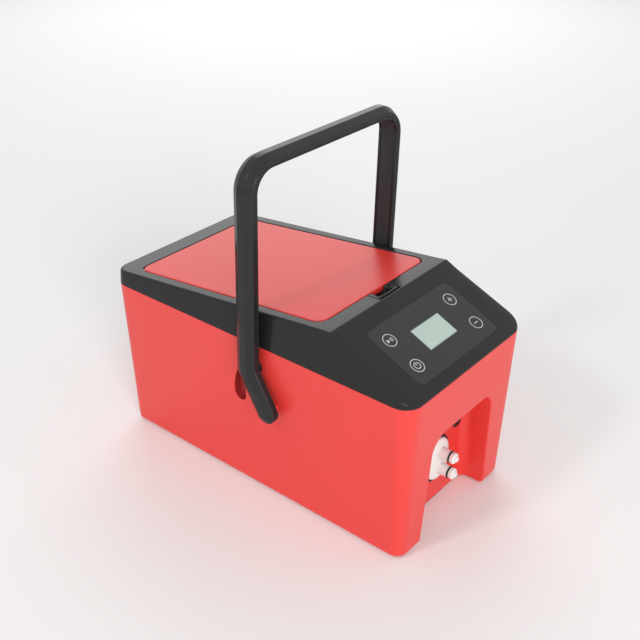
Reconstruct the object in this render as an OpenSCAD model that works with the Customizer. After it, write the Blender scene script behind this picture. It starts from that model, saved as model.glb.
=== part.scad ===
// Portable hot and cold therapy machine: a red tub-shaped body under a black
// wedge-shaped top with a lid, a sloped control panel and a bail handle.
// Millimetres. X is the width, the front faces -Y, +Z is up, and the origin is
// on the standing surface below the middle of the body.

/* [Body] */
// Length of the red body at its underside
body_l = 330; // [324:1:340]
// Width of the red body at its underside
body_w = 164; // [160:1:166]
// Height of the red shell over its underside
shell_h = 156; // [150:0.5:165]
// Outward lean of the body sides in degrees
draft = 1.9; // [1.5:0.1:2.1]
// Radius of the upright corners at the underside
corner_r = 11; // [9:0.5:14]
// Radius of the edge round the underside
edge_r = 4; // [2:0.5:5]
// Wall thickness of the red body
wall = 3; // [2.5:0.1:3.2]
// Thickness of the floor of the red body
floor_t = 3; // [2.5:0.1:4]
// Height of the feet below the body
foot_h = 1.5; // [1:0.1:3]
// Diameter of the feet
foot_d = 16; // [12:1:17]
// Distance of the feet and their screws from the corner centres
foot_inset = 5; // [4:0.5:7]

/* [Black top] */
// Level distance from the front edge back to the fold
fold_run = 81.5; // [79:0.5:84]
// Height of the black band below the control panel's front edge
band_h = 3.2; // [2:0.2:6]
// Fall of the deck towards the rear in degrees
deck_tilt = 6.05; // [5.6:0.05:6.4]
// Fall of the control panel towards the front in degrees
panel_tilt = 24.6; // [23:0.1:25]
// Inward lean of the black side walls in degrees
top_lean = 4.5; // [2:0.5:6]
// Wall thickness of the black top
top_wall = 3; // [2.6:0.1:3.2]
// Chamfer along the deck's side and rear edges
top_chamfer = 2.4; // [1:0.2:3]
// Depth of the tongue that locates the top in the body
tongue_h = 5; // [3:0.5:8]

/* [Lid] */
// How far the lid's sides stay inside the sides of the body's underside
lid_margin = 8; // [7.5:0.5:11]
// How much shorter the lid is than the body behind the fold
lid_rest = 29.3; // [28.5:0.1:36]
// Corner radius of the lid
lid_r = 10; // [6:0.5:14]
// Distance from the fold to the lid's front edge, along the deck
lid_setback = 16.8; // [16.4:0.2:18]
// Gap round the lid
lid_gap = 1; // [0.8:0.1:1.5]
// Height of the lid's rim
lid_rim_h = 5; // [4.5:0.1:5.4]
// Thickness of the lid's top skin
lid_skin = 2.5; // [1.8:0.1:3]
// Depth of the ledge under the deck that the lid's seal rests on
ledge_depth = 9.8; // [9.4:0.1:11]
// Width of the ledge
ledge_w = 8.5; // [8:0.5:10]
// Thickness of the ledge and the collar wall
ledge_t = 3; // [2:0.2:3.4]
// Depth of the lid's insulating plug below its rim
plug_depth = 12; // [8:0.5:14]
// Gap between the plug and the tank's walls
plug_gap = 2.5; // [2:0.1:4]
// Diameter of the lid's hinge pins
hinge_pin_d = 3; // [2:0.2:3.2]

/* [Latch] */
// Width of the latch pocket in the deck
latch_w = 29; // [24:1:32]
// Depth of the latch pocket
latch_depth = 8.6; // [8.4:0.1:9]
// Travel of the latch towards the front
latch_travel = 2.3; // [2.2:0.1:3]
// Overlap of the latch's nose with the lid's catch
latch_bite = 1.7; // [1:0.1:1.8]
// Width of the latch's nose
nose_w = 12; // [8:1:14]

/* [Handle] */
// Distance from the side of the body's underside out to a handle arm
handle_gap = 9.3; // [9:0.1:12]
// Thickness of the arms and the grip
handle_t = 10; // [9:0.2:12]
// Depth of the arms and the grip from front to rear
handle_d = 20; // [18:0.5:22]
// Width of the flat outer face between the bevels
handle_flat = 6.4; // [4:0.2:10]
// Height of each bevel, measured across the thickness
handle_bevel = 4.1; // [2:0.1:5]
// Inner radius of the two top corners
handle_ri = 18.5; // [12:0.5:24]
// Height of the grip's inner face over the elbows
handle_rise = 179.9; // [172:0.1:184]
// Forward lean of the upright arms in degrees
handle_lean = 1.4; // [0:0.1:3]
// Distance from the pivot to the elbow
elbow_l = 40.7; // [39:0.1:42]
// Angle between the lower arm and upright in degrees
elbow_a = 30.2; // [28:0.2:32]
// Place of the pivot in front of the body's middle
pivot_front = 30; // [28:1:32]
// Height of the pivot over the body's underside
pivot_h = 99.5; // [96:0.5:101]
// Diameter of the pivot pins
pivot_d = 8; // [6:0.5:8]
// Backward swing of the handle in degrees
handle_swing = 63; // [55:1:63]
// Width of the curved guide slots in the body's sides
slot_w = 13.2; // [11:0.2:14]
// Depth of the slots' floors inside the sides of the body's underside
slot_inset = 1; // [0.6:0.1:1.4]
// Clearance between a guide sleeve and its slot
slot_play = 0.3; // [0.2:0.05:0.5]

/* [Control panel] */
// Distance from the fold down to the middle of the controls
controls_s = 48.2; // [46:0.2:50]
// Sideways distance of the keys from the middle
key_dx = 44; // [40:0.5:46]
// Distance of the two key rows from the middle
key_dy = 15.1; // [13:0.1:17]
// Diameter of a key
key_d = 14; // [10:0.2:15]
// Travel of a key
key_travel = 0.6; // [0.3:0.1:0.8]
// Width of the display window
lcd_w = 39.6; // [34:0.2:42]
// Height of the display window along the slope
lcd_l = 23.4; // [20:0.2:26]
// Width of the control foil
foil_w = 116; // [110:1:124]
// Height of the control foil along the slope
foil_l = 62; // [58:1:66]
// Thickness of the control foil
foil_t = 0.5; // [0.3:0.1:0.8]
// Depth of the circuit board below the panel's face
pcb_depth = 10; // [9.4:0.1:11]
// Thickness of the circuit boards
pcb_t = 1.6; // [1:0.2:2]

/* [Front recess] */
// Height of the arched recess over the body's underside
arch_h = 107.5; // [102:0.5:112]
// Width of the recess at the body's underside
arch_w = 103; // [98:1:106]
// Inward lean of the recess sides in degrees
arch_lean = 3.2; // [2:0.1:4]
// Radius of the recess's top corners
arch_r = 17; // [12:1:22]
// Depth of the recess at the body's underside
recess_d = 24.5; // [22:0.5:26]
// Radius of the recess's upright inner corners
recess_r = 9; // [6:1:12]

/* [Hose coupling] */
// Sideways place of the coupling
coupling_x = 4; // [0:1:6]
// Height of the coupling's middle over the body's underside
coupling_h = 46.7; // [44:0.1:50]
// Width of the oval coupling flange
flange_w = 31; // [28:0.5:34]
// Height of the oval coupling flange
flange_l = 42.6; // [40:0.5:46]
// Thickness of the flange's edge
flange_t = 2.4; // [2:0.1:3]
// Thickness of the black backing plate
backing_t = 1.6; // [1:0.1:2]
// Rim of the backing plate that shows round the flange
backing_rim = 2.6; // [1:0.1:3]
// Distance between the two nipples
nipple_pitch = 17; // [16:0.2:18]
// Diameter of a nipple's head
nipple_d = 10.4; // [9:0.2:11]
// Length of a nipple in front of the flange
nipple_l = 19; // [16:0.5:20]
// Cord thickness of the sealing rings
ring_cord = 1.5; // [1:0.1:1.8]
// Travel of the valve pins, and the length of tip that stands out of a nipple
valve_travel = 2; // [1:0.1:2]
// Sideways place of the power socket
jack_x = 35; // [33:1:37]
// Height of the power socket over the body's underside
jack_h = 71; // [68:1:76]

/* [Inside] */
// Step from the ledge's edge in to the tank's walls
tank_step = 1.5; // [1:0.1:3]
// Wall thickness of the tank
tank_t = 2.5; // [2:0.1:3]
// Height of the tank's underside over the body's underside
tank_h = 11; // [10:0.5:14]
// Corner radius of the tank
tank_r = 14; // [10:1:18]
// Least space between insulation and body
foam_gap = 1.2; // [1:0.1:2]
// Diameter of the pump's chamber
pump_d = 42; // [38:1:43]
// Distance of the pump's chamber from the body's left side
pump_side = 55; // [53:1:56]
// Height of the pump's axis over the body's underside
pump_h = 27; // [26:0.5:29]
// Distance of the pump's axis behind the recess wall
pump_back = 34.5; // [33.5:0.5:36.5]
// Outer diameter of the hoses
hose_d = 10; // [9:0.5:10.5]
// Bore of the hoses
hose_bore = 7; // [6.8:0.1:7.2]
// Diameter of the hose tails
tail_d = 6.4; // [6:0.1:6.6]

/* [Hidden] */

$fn = 64;
// Fine rounding for the large outside corners
round_fn = 96;
// Play between pieces of one assembly that meet
seat = 0.3;
// Radial play of a running pin in its bore
run_play = 0.05;
// Overlap that makes a cut run clear through a face
cut = 1;
// Least step between two faces that would otherwise only touch
hair = 0.02;
red = "#dc4a46";
black = "#2c2c2e";
white = "#f4f4f2";
grey = "#c9ccd0";
steel = "#b8bbc0";
green = "#2f6b3f";

// Plan of the body: corner centres, and the height of the main joints
fold_h = shell_h + band_h + fold_run * tan(panel_tilt);
cx = body_w / 2 - corner_r;
cy = body_l / 2 - corner_r;
k_draft = tan(draft);
k_lean = tan(top_lean);
base_z = foot_h;
part_z = base_z + shell_h;
part_r = corner_r + k_draft * shell_h;
front_y = -(cy + part_r);
fold_y = front_y + fold_run;
fold_z = base_z + fold_h;
foot_x = cx - foot_inset;
foot_y = cy - foot_inset;

// Handle
handle_h = body_w / 2 + handle_gap;
slot_floor = body_w / 2 - slot_inset;
pivot_y = -pivot_front;
pivot_z = base_z + pivot_h;
elbow_y = pivot_y + elbow_l * sin(elbow_a);
elbow_z = pivot_z + elbow_l * cos(elbow_a);
sleeve_d = slot_w - 2 * slot_play;
stub_r = 3;
bush_r = pivot_d / 2 + 1.5;
bush_l = 8;

// Lid and hinge, measured along the deck from the fold
lid_w = body_w - 2 * lid_margin;
lid_l = body_l - fold_run - lid_rest;
lid_c = lid_setback + lid_l / 2;
hinge_in = hinge_pin_d / 2 + 1.9;
hinge_u = lid_setback + lid_l - hinge_in;
hinge_w = -lid_rim_h / 2;
pin_in = lid_w / 2 - 8;
open_w = lid_w + 2 * lid_gap;
open_l = lid_l + 2 * lid_gap;
open_front = lid_setback - lid_gap;
tank_w = open_w - 2 * ledge_w - 2 * tank_step;
tank_l = (open_l - 2 * ledge_w) * cos(deck_tilt) - 2 * tank_step;
tank_y = fold_y + lid_c * cos(deck_tilt) - (ledge_depth + ledge_t) * sin(deck_tilt);
plug_w = tank_w - 2 * plug_gap;
plug_l = tank_l - 2 * plug_gap - 1;
seal_mid = ledge_w / 2;
seal_t = 3.6;

// Front recess
recess_y = -(body_l / 2 - recess_d);
lining_y = recess_y + wall;
coupling_z = base_z + coupling_h;
flange_front = recess_y - backing_t - flange_t;
nipple_zs = [coupling_z + nipple_pitch / 2, coupling_z - nipple_pitch / 2];
jack_z = base_z + jack_h;
tail_end = lining_y + 17;

// Tank, insulation and pump
tank_z = base_z + tank_h;
tank_front = tank_y - tank_l / 2 - tank_t;
foam_half = body_w / 2 - wall - foam_gap - 0.3;
foam_front = tank_front - 11.5;
foam_back = cy - 1;
foam_top = part_z - tongue_h - 4;
pump_x = pump_side - body_w / 2;
pump_y = recess_y + pump_back;
pump_z = base_z + pump_h;
suction_x = 8;
suction_z = tank_z + tank_t + 13;
return_x = 38;
return_z = part_z - 24;
port_l = 9;

// ---- shapes used by several pieces ----

// Rounded rectangle, centred
module rounded_rect(w, l, r) {
    square([w - 2 * r, l], center = true);
    square([w, l - 2 * r], center = true);
    for (sx = [-1, 1], sy = [-1, 1])
        translate([sx * (w / 2 - r), sy * (l / 2 - r)]) circle(r);
}

// Rounded plate between two heights
module plate(w, l, r, z0, z1) {
    translate([0, 0, z0]) linear_extrude(z1 - z0) rounded_rect(w, l, r);
}

// Ring of plate outline, with its wall inside the outline
module frame_plate(w, l, r, t, z0, z1) {
    difference() {
        plate(w, l, r, z0, z1);
        plate(w - 2 * t, l - 2 * t, max(r - t, 0.5), z0 - cut, z1 + cut);
    }
}

// Stadium with its long axis along y
module stadium(w, l) {
    square([w, l - w], center = true);
    for (s = [-1, 1]) translate([0, s * (l - w) / 2]) circle(w / 2);
}

// Tub shape: corner centres at (cx, cy), and an outline of [radius, height]
// points that the flat sides and the turned corners both follow
module tub(outline) {
    n = len(outline);
    side = function(c) concat([for (p = outline) [c + p.x, p.y]],
                              [for (i = [n - 1:-1:0]) [-c - outline[i].x, outline[i].y]]);
    rotate([90, 0, 0]) linear_extrude(2 * cy, center = true) polygon(side(cx));
    rotate([90, 0, 90]) linear_extrude(2 * cx, center = true) polygon(side(cy));
    for (sx = [-1, 1], sy = [-1, 1])
        translate([sx * cx, sy * cy, 0])
            rotate_extrude($fn = round_fn)
                polygon(concat([[0, outline[0].y]], outline, [[0, outline[n - 1].y]]));
}

// Side view under the deck and the panel, sunk by off, from floor z0 up
function roof_fold(off) = fold_y + off * (1 / cos(panel_tilt) - 1 / cos(deck_tilt))
                          / (tan(panel_tilt) + tan(deck_tilt));
function deck_z(y, off = 0) = fold_z - (y - fold_y) * tan(deck_tilt) - off / cos(deck_tilt);
function panel_z(y, off = 0) = fold_z + (y - fold_y) * tan(panel_tilt) - off / cos(panel_tilt);
module under_roof(off, z0) {
    reach = body_l;
    yf = roof_fold(off);
    rotate([90, 0, 90]) linear_extrude(2 * body_w, center = true)
        polygon([[-reach, min(z0, panel_z(-reach, off)) - cut], [-reach, panel_z(-reach, off)],
                 [yf, deck_z(yf, off)], [reach, deck_z(reach, off)],
                 [reach, min(z0, panel_z(-reach, off)) - cut]]);
}

// Deck frame: origin on the fold, +y runs to the rear along the deck
module on_deck() {
    translate([0, fold_y, fold_z]) rotate([-deck_tilt, 0, 0]) children();
}

// Panel frame: origin at the middle of the controls, +y runs up the slope
module on_panel() {
    translate([0, fold_y, fold_z]) rotate([panel_tilt, 0, 0]) translate([0, -controls_s, 0]) children();
}

// The lid's own frame, level with the deck at the middle of the lid
module on_lid() {
    on_deck() translate([0, lid_c, 0]) children();
}

// Both sides of the body
module both_sides() {
    children();
    mirror([1, 0, 0]) children();
}

// Bar along x from x0 to x1 at (y, z)
module bar_x(r, x0, x1, y, z) {
    translate([x0, y, z]) rotate([0, 90, 0]) cylinder(r = r, h = x1 - x0);
}

// Bar along y from y0 to y1 at (x, z)
module bar_y(r, y0, y1, x, z) {
    translate([x, y1, z]) rotate([90, 0, 0]) cylinder(r = r, h = y1 - y0);
}

// Pan-head screw: head below z = 0, shank up
module screw(head_d, head_h, d, l) {
    translate([0, 0, -head_h]) cylinder(d = head_d, h = head_h);
    cylinder(d = d, h = l);
}

// Round hose or lead on a smooth curve through hand-placed points
function spline(p, n) = [
    for (i = [0:len(p) - 2], j = [0:n - 1])
        let (t = j / n, a = p[max(i - 1, 0)], b = p[i], c = p[i + 1], d = p[min(i + 2, len(p) - 1)])
            0.5 * (2 * b + (c - a) * t + (2 * a - 5 * b + 4 * c - d) * t * t
                   + (3 * b - a - 3 * c + d) * t * t * t),
    p[len(p) - 1]
];
function unit(v) = v / norm(v);
function heading(q, i) = unit(q[min(i + 1, len(q) - 1)] - q[max(i - 1, 0)]);
function carried(q) = [
    for (i = 0, h = heading(q, 0), s = unit(cross(h, abs(h.z) > 0.9 ? [1, 0, 0] : [0, 0, 1]));
         i < len(q);
         i = i + 1, h = heading(q, i), s = unit(s - (s * h) * h)) s
];
module hose(points, r, bore_r, sides = 12, steps = 3) {
    q = spline(points, steps);
    s = carried(q);
    n = len(q);
    ring = function(rad) [
        for (i = [0:n - 1], j = [0:sides - 1])
            let (a = 360 * j / sides) q[i] + rad * (cos(a) * s[i] + sin(a) * cross(heading(q, i), s[i]))
    ];
    m = n * sides;
    side_faces = function(o, flip) [
        for (i = [0:n - 2], j = [0:sides - 1], h = [0, 1])
            let (a = o + i * sides + j, b = o + i * sides + (j + 1) % sides, c = b + sides, d = a + sides,
                 f = h == 0 ? [a, b, c] : [a, c, d])
                flip ? [f[2], f[1], f[0]] : f
    ];
    if (bore_r > 0)
        polyhedron(concat(ring(r), ring(bore_r)), concat(
            side_faces(0, false), side_faces(m, true),
            [for (j = [0:sides - 1], h = [0, 1])
                let (k = (j + 1) % sides) h == 0 ? [j, m + j, m + k] : [j, m + k, k]],
            [for (j = [0:sides - 1], h = [0, 1])
                let (k = (j + 1) % sides, e = (n - 1) * sides)
                    h == 0 ? [e + j, e + k, m + e + k] : [e + j, m + e + k, m + e + j]]), convexity = 8);
    else
        polyhedron(ring(r), concat(
            side_faces(0, false),
            [for (j = [1:sides - 2]) [0, j + 1, j]],
            [for (j = [1:sides - 2]) let (e = (n - 1) * sides) [e, e + j, e + j + 1]]), convexity = 8);
}

// ---- red body ----

bottom_round = [
    for (a = [0:22.5:90]) [corner_r - edge_r + edge_r * sin(a) + k_draft * edge_r * (1 - cos(a)),
                           base_z + edge_r - edge_r * cos(a)]
];
shell_out = concat(bottom_round, [[part_r, part_z]]);
shell_in = [
    [corner_r - wall + k_draft * floor_t, base_z + floor_t],
    [part_r - wall + k_draft * cut, part_z + cut]
];

// Arch outline in the x-z plane, grown by g
module arch(g = 0) {
    half = function(z) arch_w / 2 + g - (z - base_z) * tan(arch_lean);
    top = base_z + arch_h + g;
    r = arch_r + g;
    zc = top - r;
    xc = half(zc) - r / cos(arch_lean);
    tz = zc + r * sin(arch_lean);
    low = base_z - 4 * cut;
    polygon([[-half(low), low], [half(low), low], [half(tz), tz], [xc, top], [-xc, top], [-half(tz), tz]]);
    for (s = [-1, 1]) translate([s * xc, zc]) circle(r - hair);
}
module arch_block(g = 0, back = 0) {
    depth = body_l / 2 + wall + cut;
    intersection() {
        translate([0, back, 0]) rotate([90, 0, 0]) linear_extrude(depth) arch(g);
        linear_extrude(3 * shell_h, center = true)
            translate([0, back - depth / 2]) rounded_rect(arch_w + 2 * g + 4 * cut, depth, recess_r + g);
    }
}

// Guide slot seen from the side, grown by g: an arc about the pivot with round ends
slot_low = elbow_now() - handle_swing - 0.6;
slot_high = elbow_now() + 2;
function elbow_now() = 90 - elbow_a;
module guide_slot(g = 0) {
    r = slot_w / 2 + g;
    difference() {
        circle(elbow_l + r, $fn = round_fn);
        circle(elbow_l - r, $fn = round_fn);
        rotate(slot_low) translate([-2 * elbow_l, -4 * elbow_l]) square(4 * elbow_l);
        rotate(slot_high) translate([-2 * elbow_l, 0]) square(4 * elbow_l);
    }
    for (a = [slot_low, slot_high]) rotate(a) translate([elbow_l, 0]) circle(r - hair);
}
// The slot carried along x from x0 to x1, about the pivot
module slot_block(g, x0, x1) {
    translate([x0, pivot_y, pivot_z]) rotate([90, 0, 90]) linear_extrude(x1 - x0) guide_slot(g);
}

boss_r = 9;
screw_boss_r = 5.5;
column_r = 4.6;
access_r = 4.2;
screw_web_z = base_z + shell_h - 18;

module lower_shell() {
    pad = 2.6;
    color(red) difference() {
        union() {
            difference() {
                tub(shell_out);
                tub(shell_in);
            }
            intersection() {
                tub(shell_out);
                union() {
                    arch_block(wall, lining_y);
                    both_sides() slot_block(pad, slot_floor - pad, body_w);
                    for (sx = [-1, 1], sy = [-1, 1])
                        translate([sx * foot_x, sy * foot_y, base_z])
                            cylinder(r = screw_boss_r, h = screw_web_z + wall - base_z);
                }
            }
            both_sides() bar_x(boss_r, body_w / 2 - wall, handle_h - seat, pivot_y, pivot_z);
            for (sx = [-1, 1], sz = [-1, 1])
                bar_y(2.5, lining_y - 0.5, driver_y, driver_x + sx * driver_dx, driver_z + sz * driver_dz);
        }
        arch_block(0, recess_y);
        both_sides() slot_block(0, slot_floor, body_w);
        both_sides() bar_x(pivot_d / 2 + run_play, body_w / 2 - 10, handle_h + cut, pivot_y, pivot_z);
        for (sx = [-1, 1], sy = [-1, 1]) translate([sx * foot_x, sy * foot_y, 0]) {
            cylinder(r = access_r, h = screw_web_z);
            cylinder(d = 4.4, h = screw_web_z + 10);
            cylinder(d = foot_d + 0.4, h = base_z + 0.6);
        }
        for (z = nipple_zs) bar_y(tail_nut_r, recess_y - cut, lining_y + cut, coupling_x, z);
        bar_y(socket_r + 0.1, recess_y - cut, lining_y + cut, jack_x, jack_z);
        for (sx = [-1, 1], sz = [-1, 1])
            bar_y(1, driver_y - 6, driver_y + cut, driver_x + sx * driver_dx, driver_z + sz * driver_dz);
    }
}

module feet() {
    color(black) for (sx = [-1, 1], sy = [-1, 1])
        translate([sx * foot_x, sy * foot_y, 0]) {
            cylinder(d1 = foot_d - 1.4, d2 = foot_d, h = 0.7);
            translate([0, 0, 0.7]) cylinder(d = foot_d, h = base_z + 0.6 - 0.7);
        }
}

module housing_screws() {
    color(steel) for (sx = [-1, 1], sy = [-1, 1])
        translate([sx * foot_x, sy * foot_y, screw_web_z]) screw(7.4, 2.6, 3.9, 18);
}

// ---- black top ----

top_out = [[part_r, part_z], [part_r - k_lean * (fold_z + 12 - part_z), fold_z + 12]];
top_in = [[part_r - top_wall + k_lean * cut, part_z - cut],
          [part_r - top_wall - k_lean * (fold_z + 12 - part_z), fold_z + 12]];
tongue_r = part_r - wall - k_draft * tongue_h - 0.2;
tongue_t = 2;
tongue_root = 2;
pocket_front = 1.2;
pocket_wall = 2;
pcb_post_x = 54.5;
pcb_post_y = 22;

// Wedges that break the deck's side and rear edges
module deck_chamfers() {
    half = cx + part_r - k_lean * (fold_z - part_z);
    rear_u = (cy + part_r - k_lean * (deck_z(cy) - part_z) - fold_y) / cos(deck_tilt);
    big = 20;
    on_deck() {
        for (s = [-1, 1])
            translate([s * (half + 0.9), 0, 0]) rotate([0, s * 45, 0])
                translate([-big, 2, -top_chamfer / sqrt(2) + 0.5]) cube([2 * big, body_l, big]);
        translate([0, rear_u + 0.4, 0]) rotate([-45, 0, 0])
            translate([-body_w, -big, -top_chamfer / sqrt(2)]) cube([2 * body_w, 2 * big, big]);
    }
}

module top_housing() {
    pocket_l = open_front - pocket_front;
    color(black) difference() {
        union() {
            difference() {
                intersection() {
                    tub(top_out);
                    under_roof(0, part_z);
                }
                intersection() {
                    tub(top_in);
                    under_roof(top_wall, part_z);
                }
            }
            difference() {
                union() {
                    tub([[tongue_r, part_z - tongue_h], [part_r - wall - 0.2, part_z]]);
                    intersection() {
                        tub([[part_r - top_wall + 0.5, part_z], [part_r - top_wall + 0.3, part_z + tongue_root]]);
                        under_roof(0.5, part_z);
                    }
                }
                tub([[tongue_r - tongue_t, part_z - tongue_h - cut],
                     [part_r - wall - tongue_t, part_z + tongue_root + cut]]);
            }
            on_lid() {
                frame_plate(open_w + 2 * ledge_t, open_l + 2 * ledge_t, lid_r + lid_gap + ledge_t, ledge_t,
                            -ledge_depth - ledge_t, -0.5);
                frame_plate(open_w, open_l, lid_r + lid_gap, ledge_w, -ledge_depth - ledge_t, -ledge_depth);
            }
            intersection() {
                under_roof(0, part_z);
                on_deck() translate([0, open_front / 2, -latch_depth / 2 - 1])
                    cube([latch_w + 2 * pocket_wall, open_front + 2, latch_depth + 2], center = true);
            }
            intersection() {
                under_roof(0.5, part_z);
                for (sx = [-1, 1], sy = [-1, 1])
                    translate([sx * foot_x, sy * foot_y, screw_web_z + wall + seat])
                        cylinder(r = column_r, h = shell_h);
            }
            on_panel() for (sx = [-1, 1], sy = [-1, 1])
                translate([sx * pcb_post_x, sy * pcb_post_y, -pcb_depth])
                    cylinder(r = 3, h = pcb_depth - 0.5);
        }
        deck_chamfers();
        on_lid() plate(open_w, open_l, lid_r + lid_gap, -ledge_depth, cut);
        on_deck() translate([-latch_w / 2, pocket_front, -latch_depth])
            cube([latch_w, pocket_l + ledge_t, latch_depth + cut]);
        on_deck() translate([-nose_w / 2 - 2, open_front - cut, -ledge_depth - ledge_t - cut])
            cube([nose_w + 4, ledge_w + 2 * cut, ledge_depth]);
        on_deck() for (s = [-1, 1])
            bar_x(hinge_pin_d / 2 + run_play, s > 0 ? pin_in : -open_w / 2 - ledge_t - cut,
                  s > 0 ? open_w / 2 + ledge_t + cut : -pin_in, hinge_u, hinge_w);
        for (sx = [-1, 1], sy = [-1, 1])
            translate([sx * foot_x, sy * foot_y, screw_web_z]) cylinder(d = 4, h = 20);
        on_panel() {
            plate(foil_w + 0.4, foil_l + 0.4, 6.2, -foil_t, cut);
            plate(lcd_w + 1.6, lcd_l + 1.6, 1.2, -top_wall - cut, cut);
            for (sx = [-1, 1], sy = [-1, 1]) {
                translate([sx * key_dx, sy * key_dy, -top_wall - cut]) cylinder(d = key_d, h = top_wall + 2 * cut);
                translate([sx * pcb_post_x, sy * pcb_post_y, -pcb_depth - cut]) cylinder(d = 2, h = 7);
            }
        }
    }
}

// ---- water tank ----

tank_out_w = tank_w + 2 * tank_t;
tank_out_l = tank_l + 2 * tank_t;
flange_top = ledge_depth + ledge_t + 0.1;
flange_thick = 2.4;

module tank() {
    color("#dfe3e6") difference() {
        union() {
            intersection() {
                translate([0, tank_y, 0]) plate(tank_out_w, tank_out_l, tank_r + tank_t, tank_z, fold_z);
                under_roof(flange_top, tank_z);
            }
            on_lid() translate([0, 0, 0])
                plate(open_w, open_l, lid_r, -flange_top - flange_thick, -flange_top);
            bar_y(tail_d / 2, tank_front - port_l, tank_front + cut, suction_x, suction_z);
            bar_y(tail_d / 2, tank_front - port_l, tank_front + cut, return_x, return_z);
        }
        translate([0, tank_y, 0]) plate(tank_w, tank_l, tank_r, tank_z + tank_t, fold_z + cut);
        bar_y(tail_d / 2 - 1.1, tank_front - port_l - cut, tank_front + tank_t + cut, suction_x, suction_z);
        bar_y(tail_d / 2 - 1.1, tank_front - port_l - cut, tank_front + tank_t + cut, return_x, return_z);
        bar_y(2.1, tank_front - cut, tank_front + tank_t + cut, probe_x, probe_z);
        for (sx = [-1, 1]) translate([sx * foot_x, foot_y, part_z]) cylinder(r = column_r + 0.5, h = fold_z);
    }
}

module tank_foam() {
    color("#ececea") difference() {
        translate([0, (foam_front + foam_back) / 2, 0])
            plate(2 * foam_half, foam_back - foam_front, 12, base_z + floor_t + 0.5, foam_top);
        translate([0, tank_y, 0])
            plate(tank_out_w + 1, tank_out_l + 1, tank_r + tank_t, tank_z - 0.3, foam_top + cut);
        bar_y(hose_d / 2 + 0.8, foam_front - cut, tank_front, suction_x, suction_z);
        bar_y(hose_d / 2 + 0.8, foam_front - cut, tank_front, return_x, return_z);
        bar_y(4, foam_front - cut, tank_front, probe_x, probe_z);
        both_sides() bar_x(9, pin_head_x - 4, body_w, pivot_y, pivot_z);
        for (sx = [-1, 1]) translate([sx * foot_x, foot_y, 0]) cylinder(r = screw_boss_r + 0.8, h = 2 * shell_h);
    }
}

module strainer() {
    w = 26;
    h = 22;
    d = 11;
    y = tank_front + tank_t + 0.2;
    color(grey) difference() {
        translate([suction_x - w / 2, y, suction_z - h / 2]) cube([w, d, h]);
        translate([suction_x - w / 2 + 1.6, y - cut, suction_z - h / 2 + 1.6]) cube([w - 3.2, d - 1.6 + cut, h - 3.2]);
        for (i = [-4:4]) translate([suction_x + i * 2.4 - 0.6, y + d - 3, suction_z - 8]) cube([1.2, 6, 16]);
    }
}

probe_x = -44;
probe_z = base_z + 60;
module temperature_probe() {
    color(steel) {
        bar_y(2, tank_front - 2.6, tank_front + 16, probe_x, probe_z);
        bar_y(3.4, tank_front - 3.6, tank_front - 0.2, probe_x, probe_z);
    }
}

// ---- lid ----

tray_t = 1.6;
lid_screw_x = (plug_w / 2 + open_w / 2 - seal_mid - seal_t / 2) / 2;
lid_screw_y = lid_l / 2 - 24;
module at_lid_screws(z) {
    for (sx = [-1, 1], sy = [-1, 1]) translate([sx * lid_screw_x, sy * lid_screw_y, z]) children();
}

module lid_cover() {
    color(red) on_lid() difference() {
        union() {
            difference() {
                plate(lid_w, lid_l, lid_r, -lid_rim_h, 0);
                plate(lid_w - 2 * lid_skin, lid_l - 2 * lid_skin, lid_r - lid_skin, -lid_rim_h - cut, -lid_skin);
            }
            at_lid_screws(-lid_rim_h + tray_t + 0.1) cylinder(r = 3, h = lid_rim_h - tray_t - lid_skin);
            intersection() {
                plate(lid_w, lid_l, lid_r, -lid_rim_h, 0);
                both_sides() bar_x(-hinge_w - 0.1, pin_in - 2, pin_in + 5, hinge_u - lid_c, hinge_w);
            }
        }
        at_lid_screws(-lid_rim_h) cylinder(d = 2.6, h = lid_rim_h - 1);
        for (s = [-1, 1])
            bar_x(hinge_pin_d / 2 + hair, s > 0 ? pin_in : -lid_w / 2 - cut, s > 0 ? lid_w / 2 + cut : -pin_in,
                  hinge_u - lid_c, hinge_w);
    }
}

// Inner panel: a tray whose plug hangs through the ledge
module lid_plug() {
    w = lid_w - 2 * lid_skin - 0.6;
    l = lid_l - 2 * lid_skin - 0.6;
    color(grey) on_lid() difference() {
        union() {
            plate(w, l, lid_r - lid_skin, -lid_rim_h, -lid_rim_h + tray_t);
            plate(plug_w, plug_l, 8, -lid_rim_h - plug_depth, -lid_rim_h + tray_t);
        }
        plate(plug_w - 2 * tray_t, plug_l - 2 * tray_t, 8 - tray_t, -lid_rim_h - plug_depth + tray_t, cut);
        for (s = [-1, 1]) translate([s * (w / 2 - 5), hinge_u - lid_c, -lid_rim_h]) cube([12, 8, 8], center = true);
        at_lid_screws(-2 * lid_rim_h) cylinder(d = 2.6, h = 2 * lid_rim_h);
    }
}

module lid_foam() {
    color("#ececea") on_lid()
        plate(plug_w - 2 * tray_t - 0.6, plug_l - 2 * tray_t - 0.6, 6, -lid_rim_h - plug_depth + tray_t + seat,
              -lid_skin - seat);
}

module lid_seal() {
    w = open_w - 2 * seal_mid + seal_t;
    l = open_l - 2 * seal_mid + seal_t;
    color("#8d9296") on_lid() difference() {
        frame_plate(w, l, lid_r, seal_t, -ledge_depth + seat + 0.1, -lid_rim_h);
        translate([0, -l / 2 + seal_t / 2, -ledge_depth]) cube([nose_w + 4, seal_t + cut, 4 * lid_rim_h], center = true);
    }
}

module lid_hinge_pins() {
    color(steel) on_deck() both_sides()
        bar_x(hinge_pin_d / 2, pin_in, open_w / 2 + ledge_t - 0.2, hinge_u, hinge_w);
}

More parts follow.
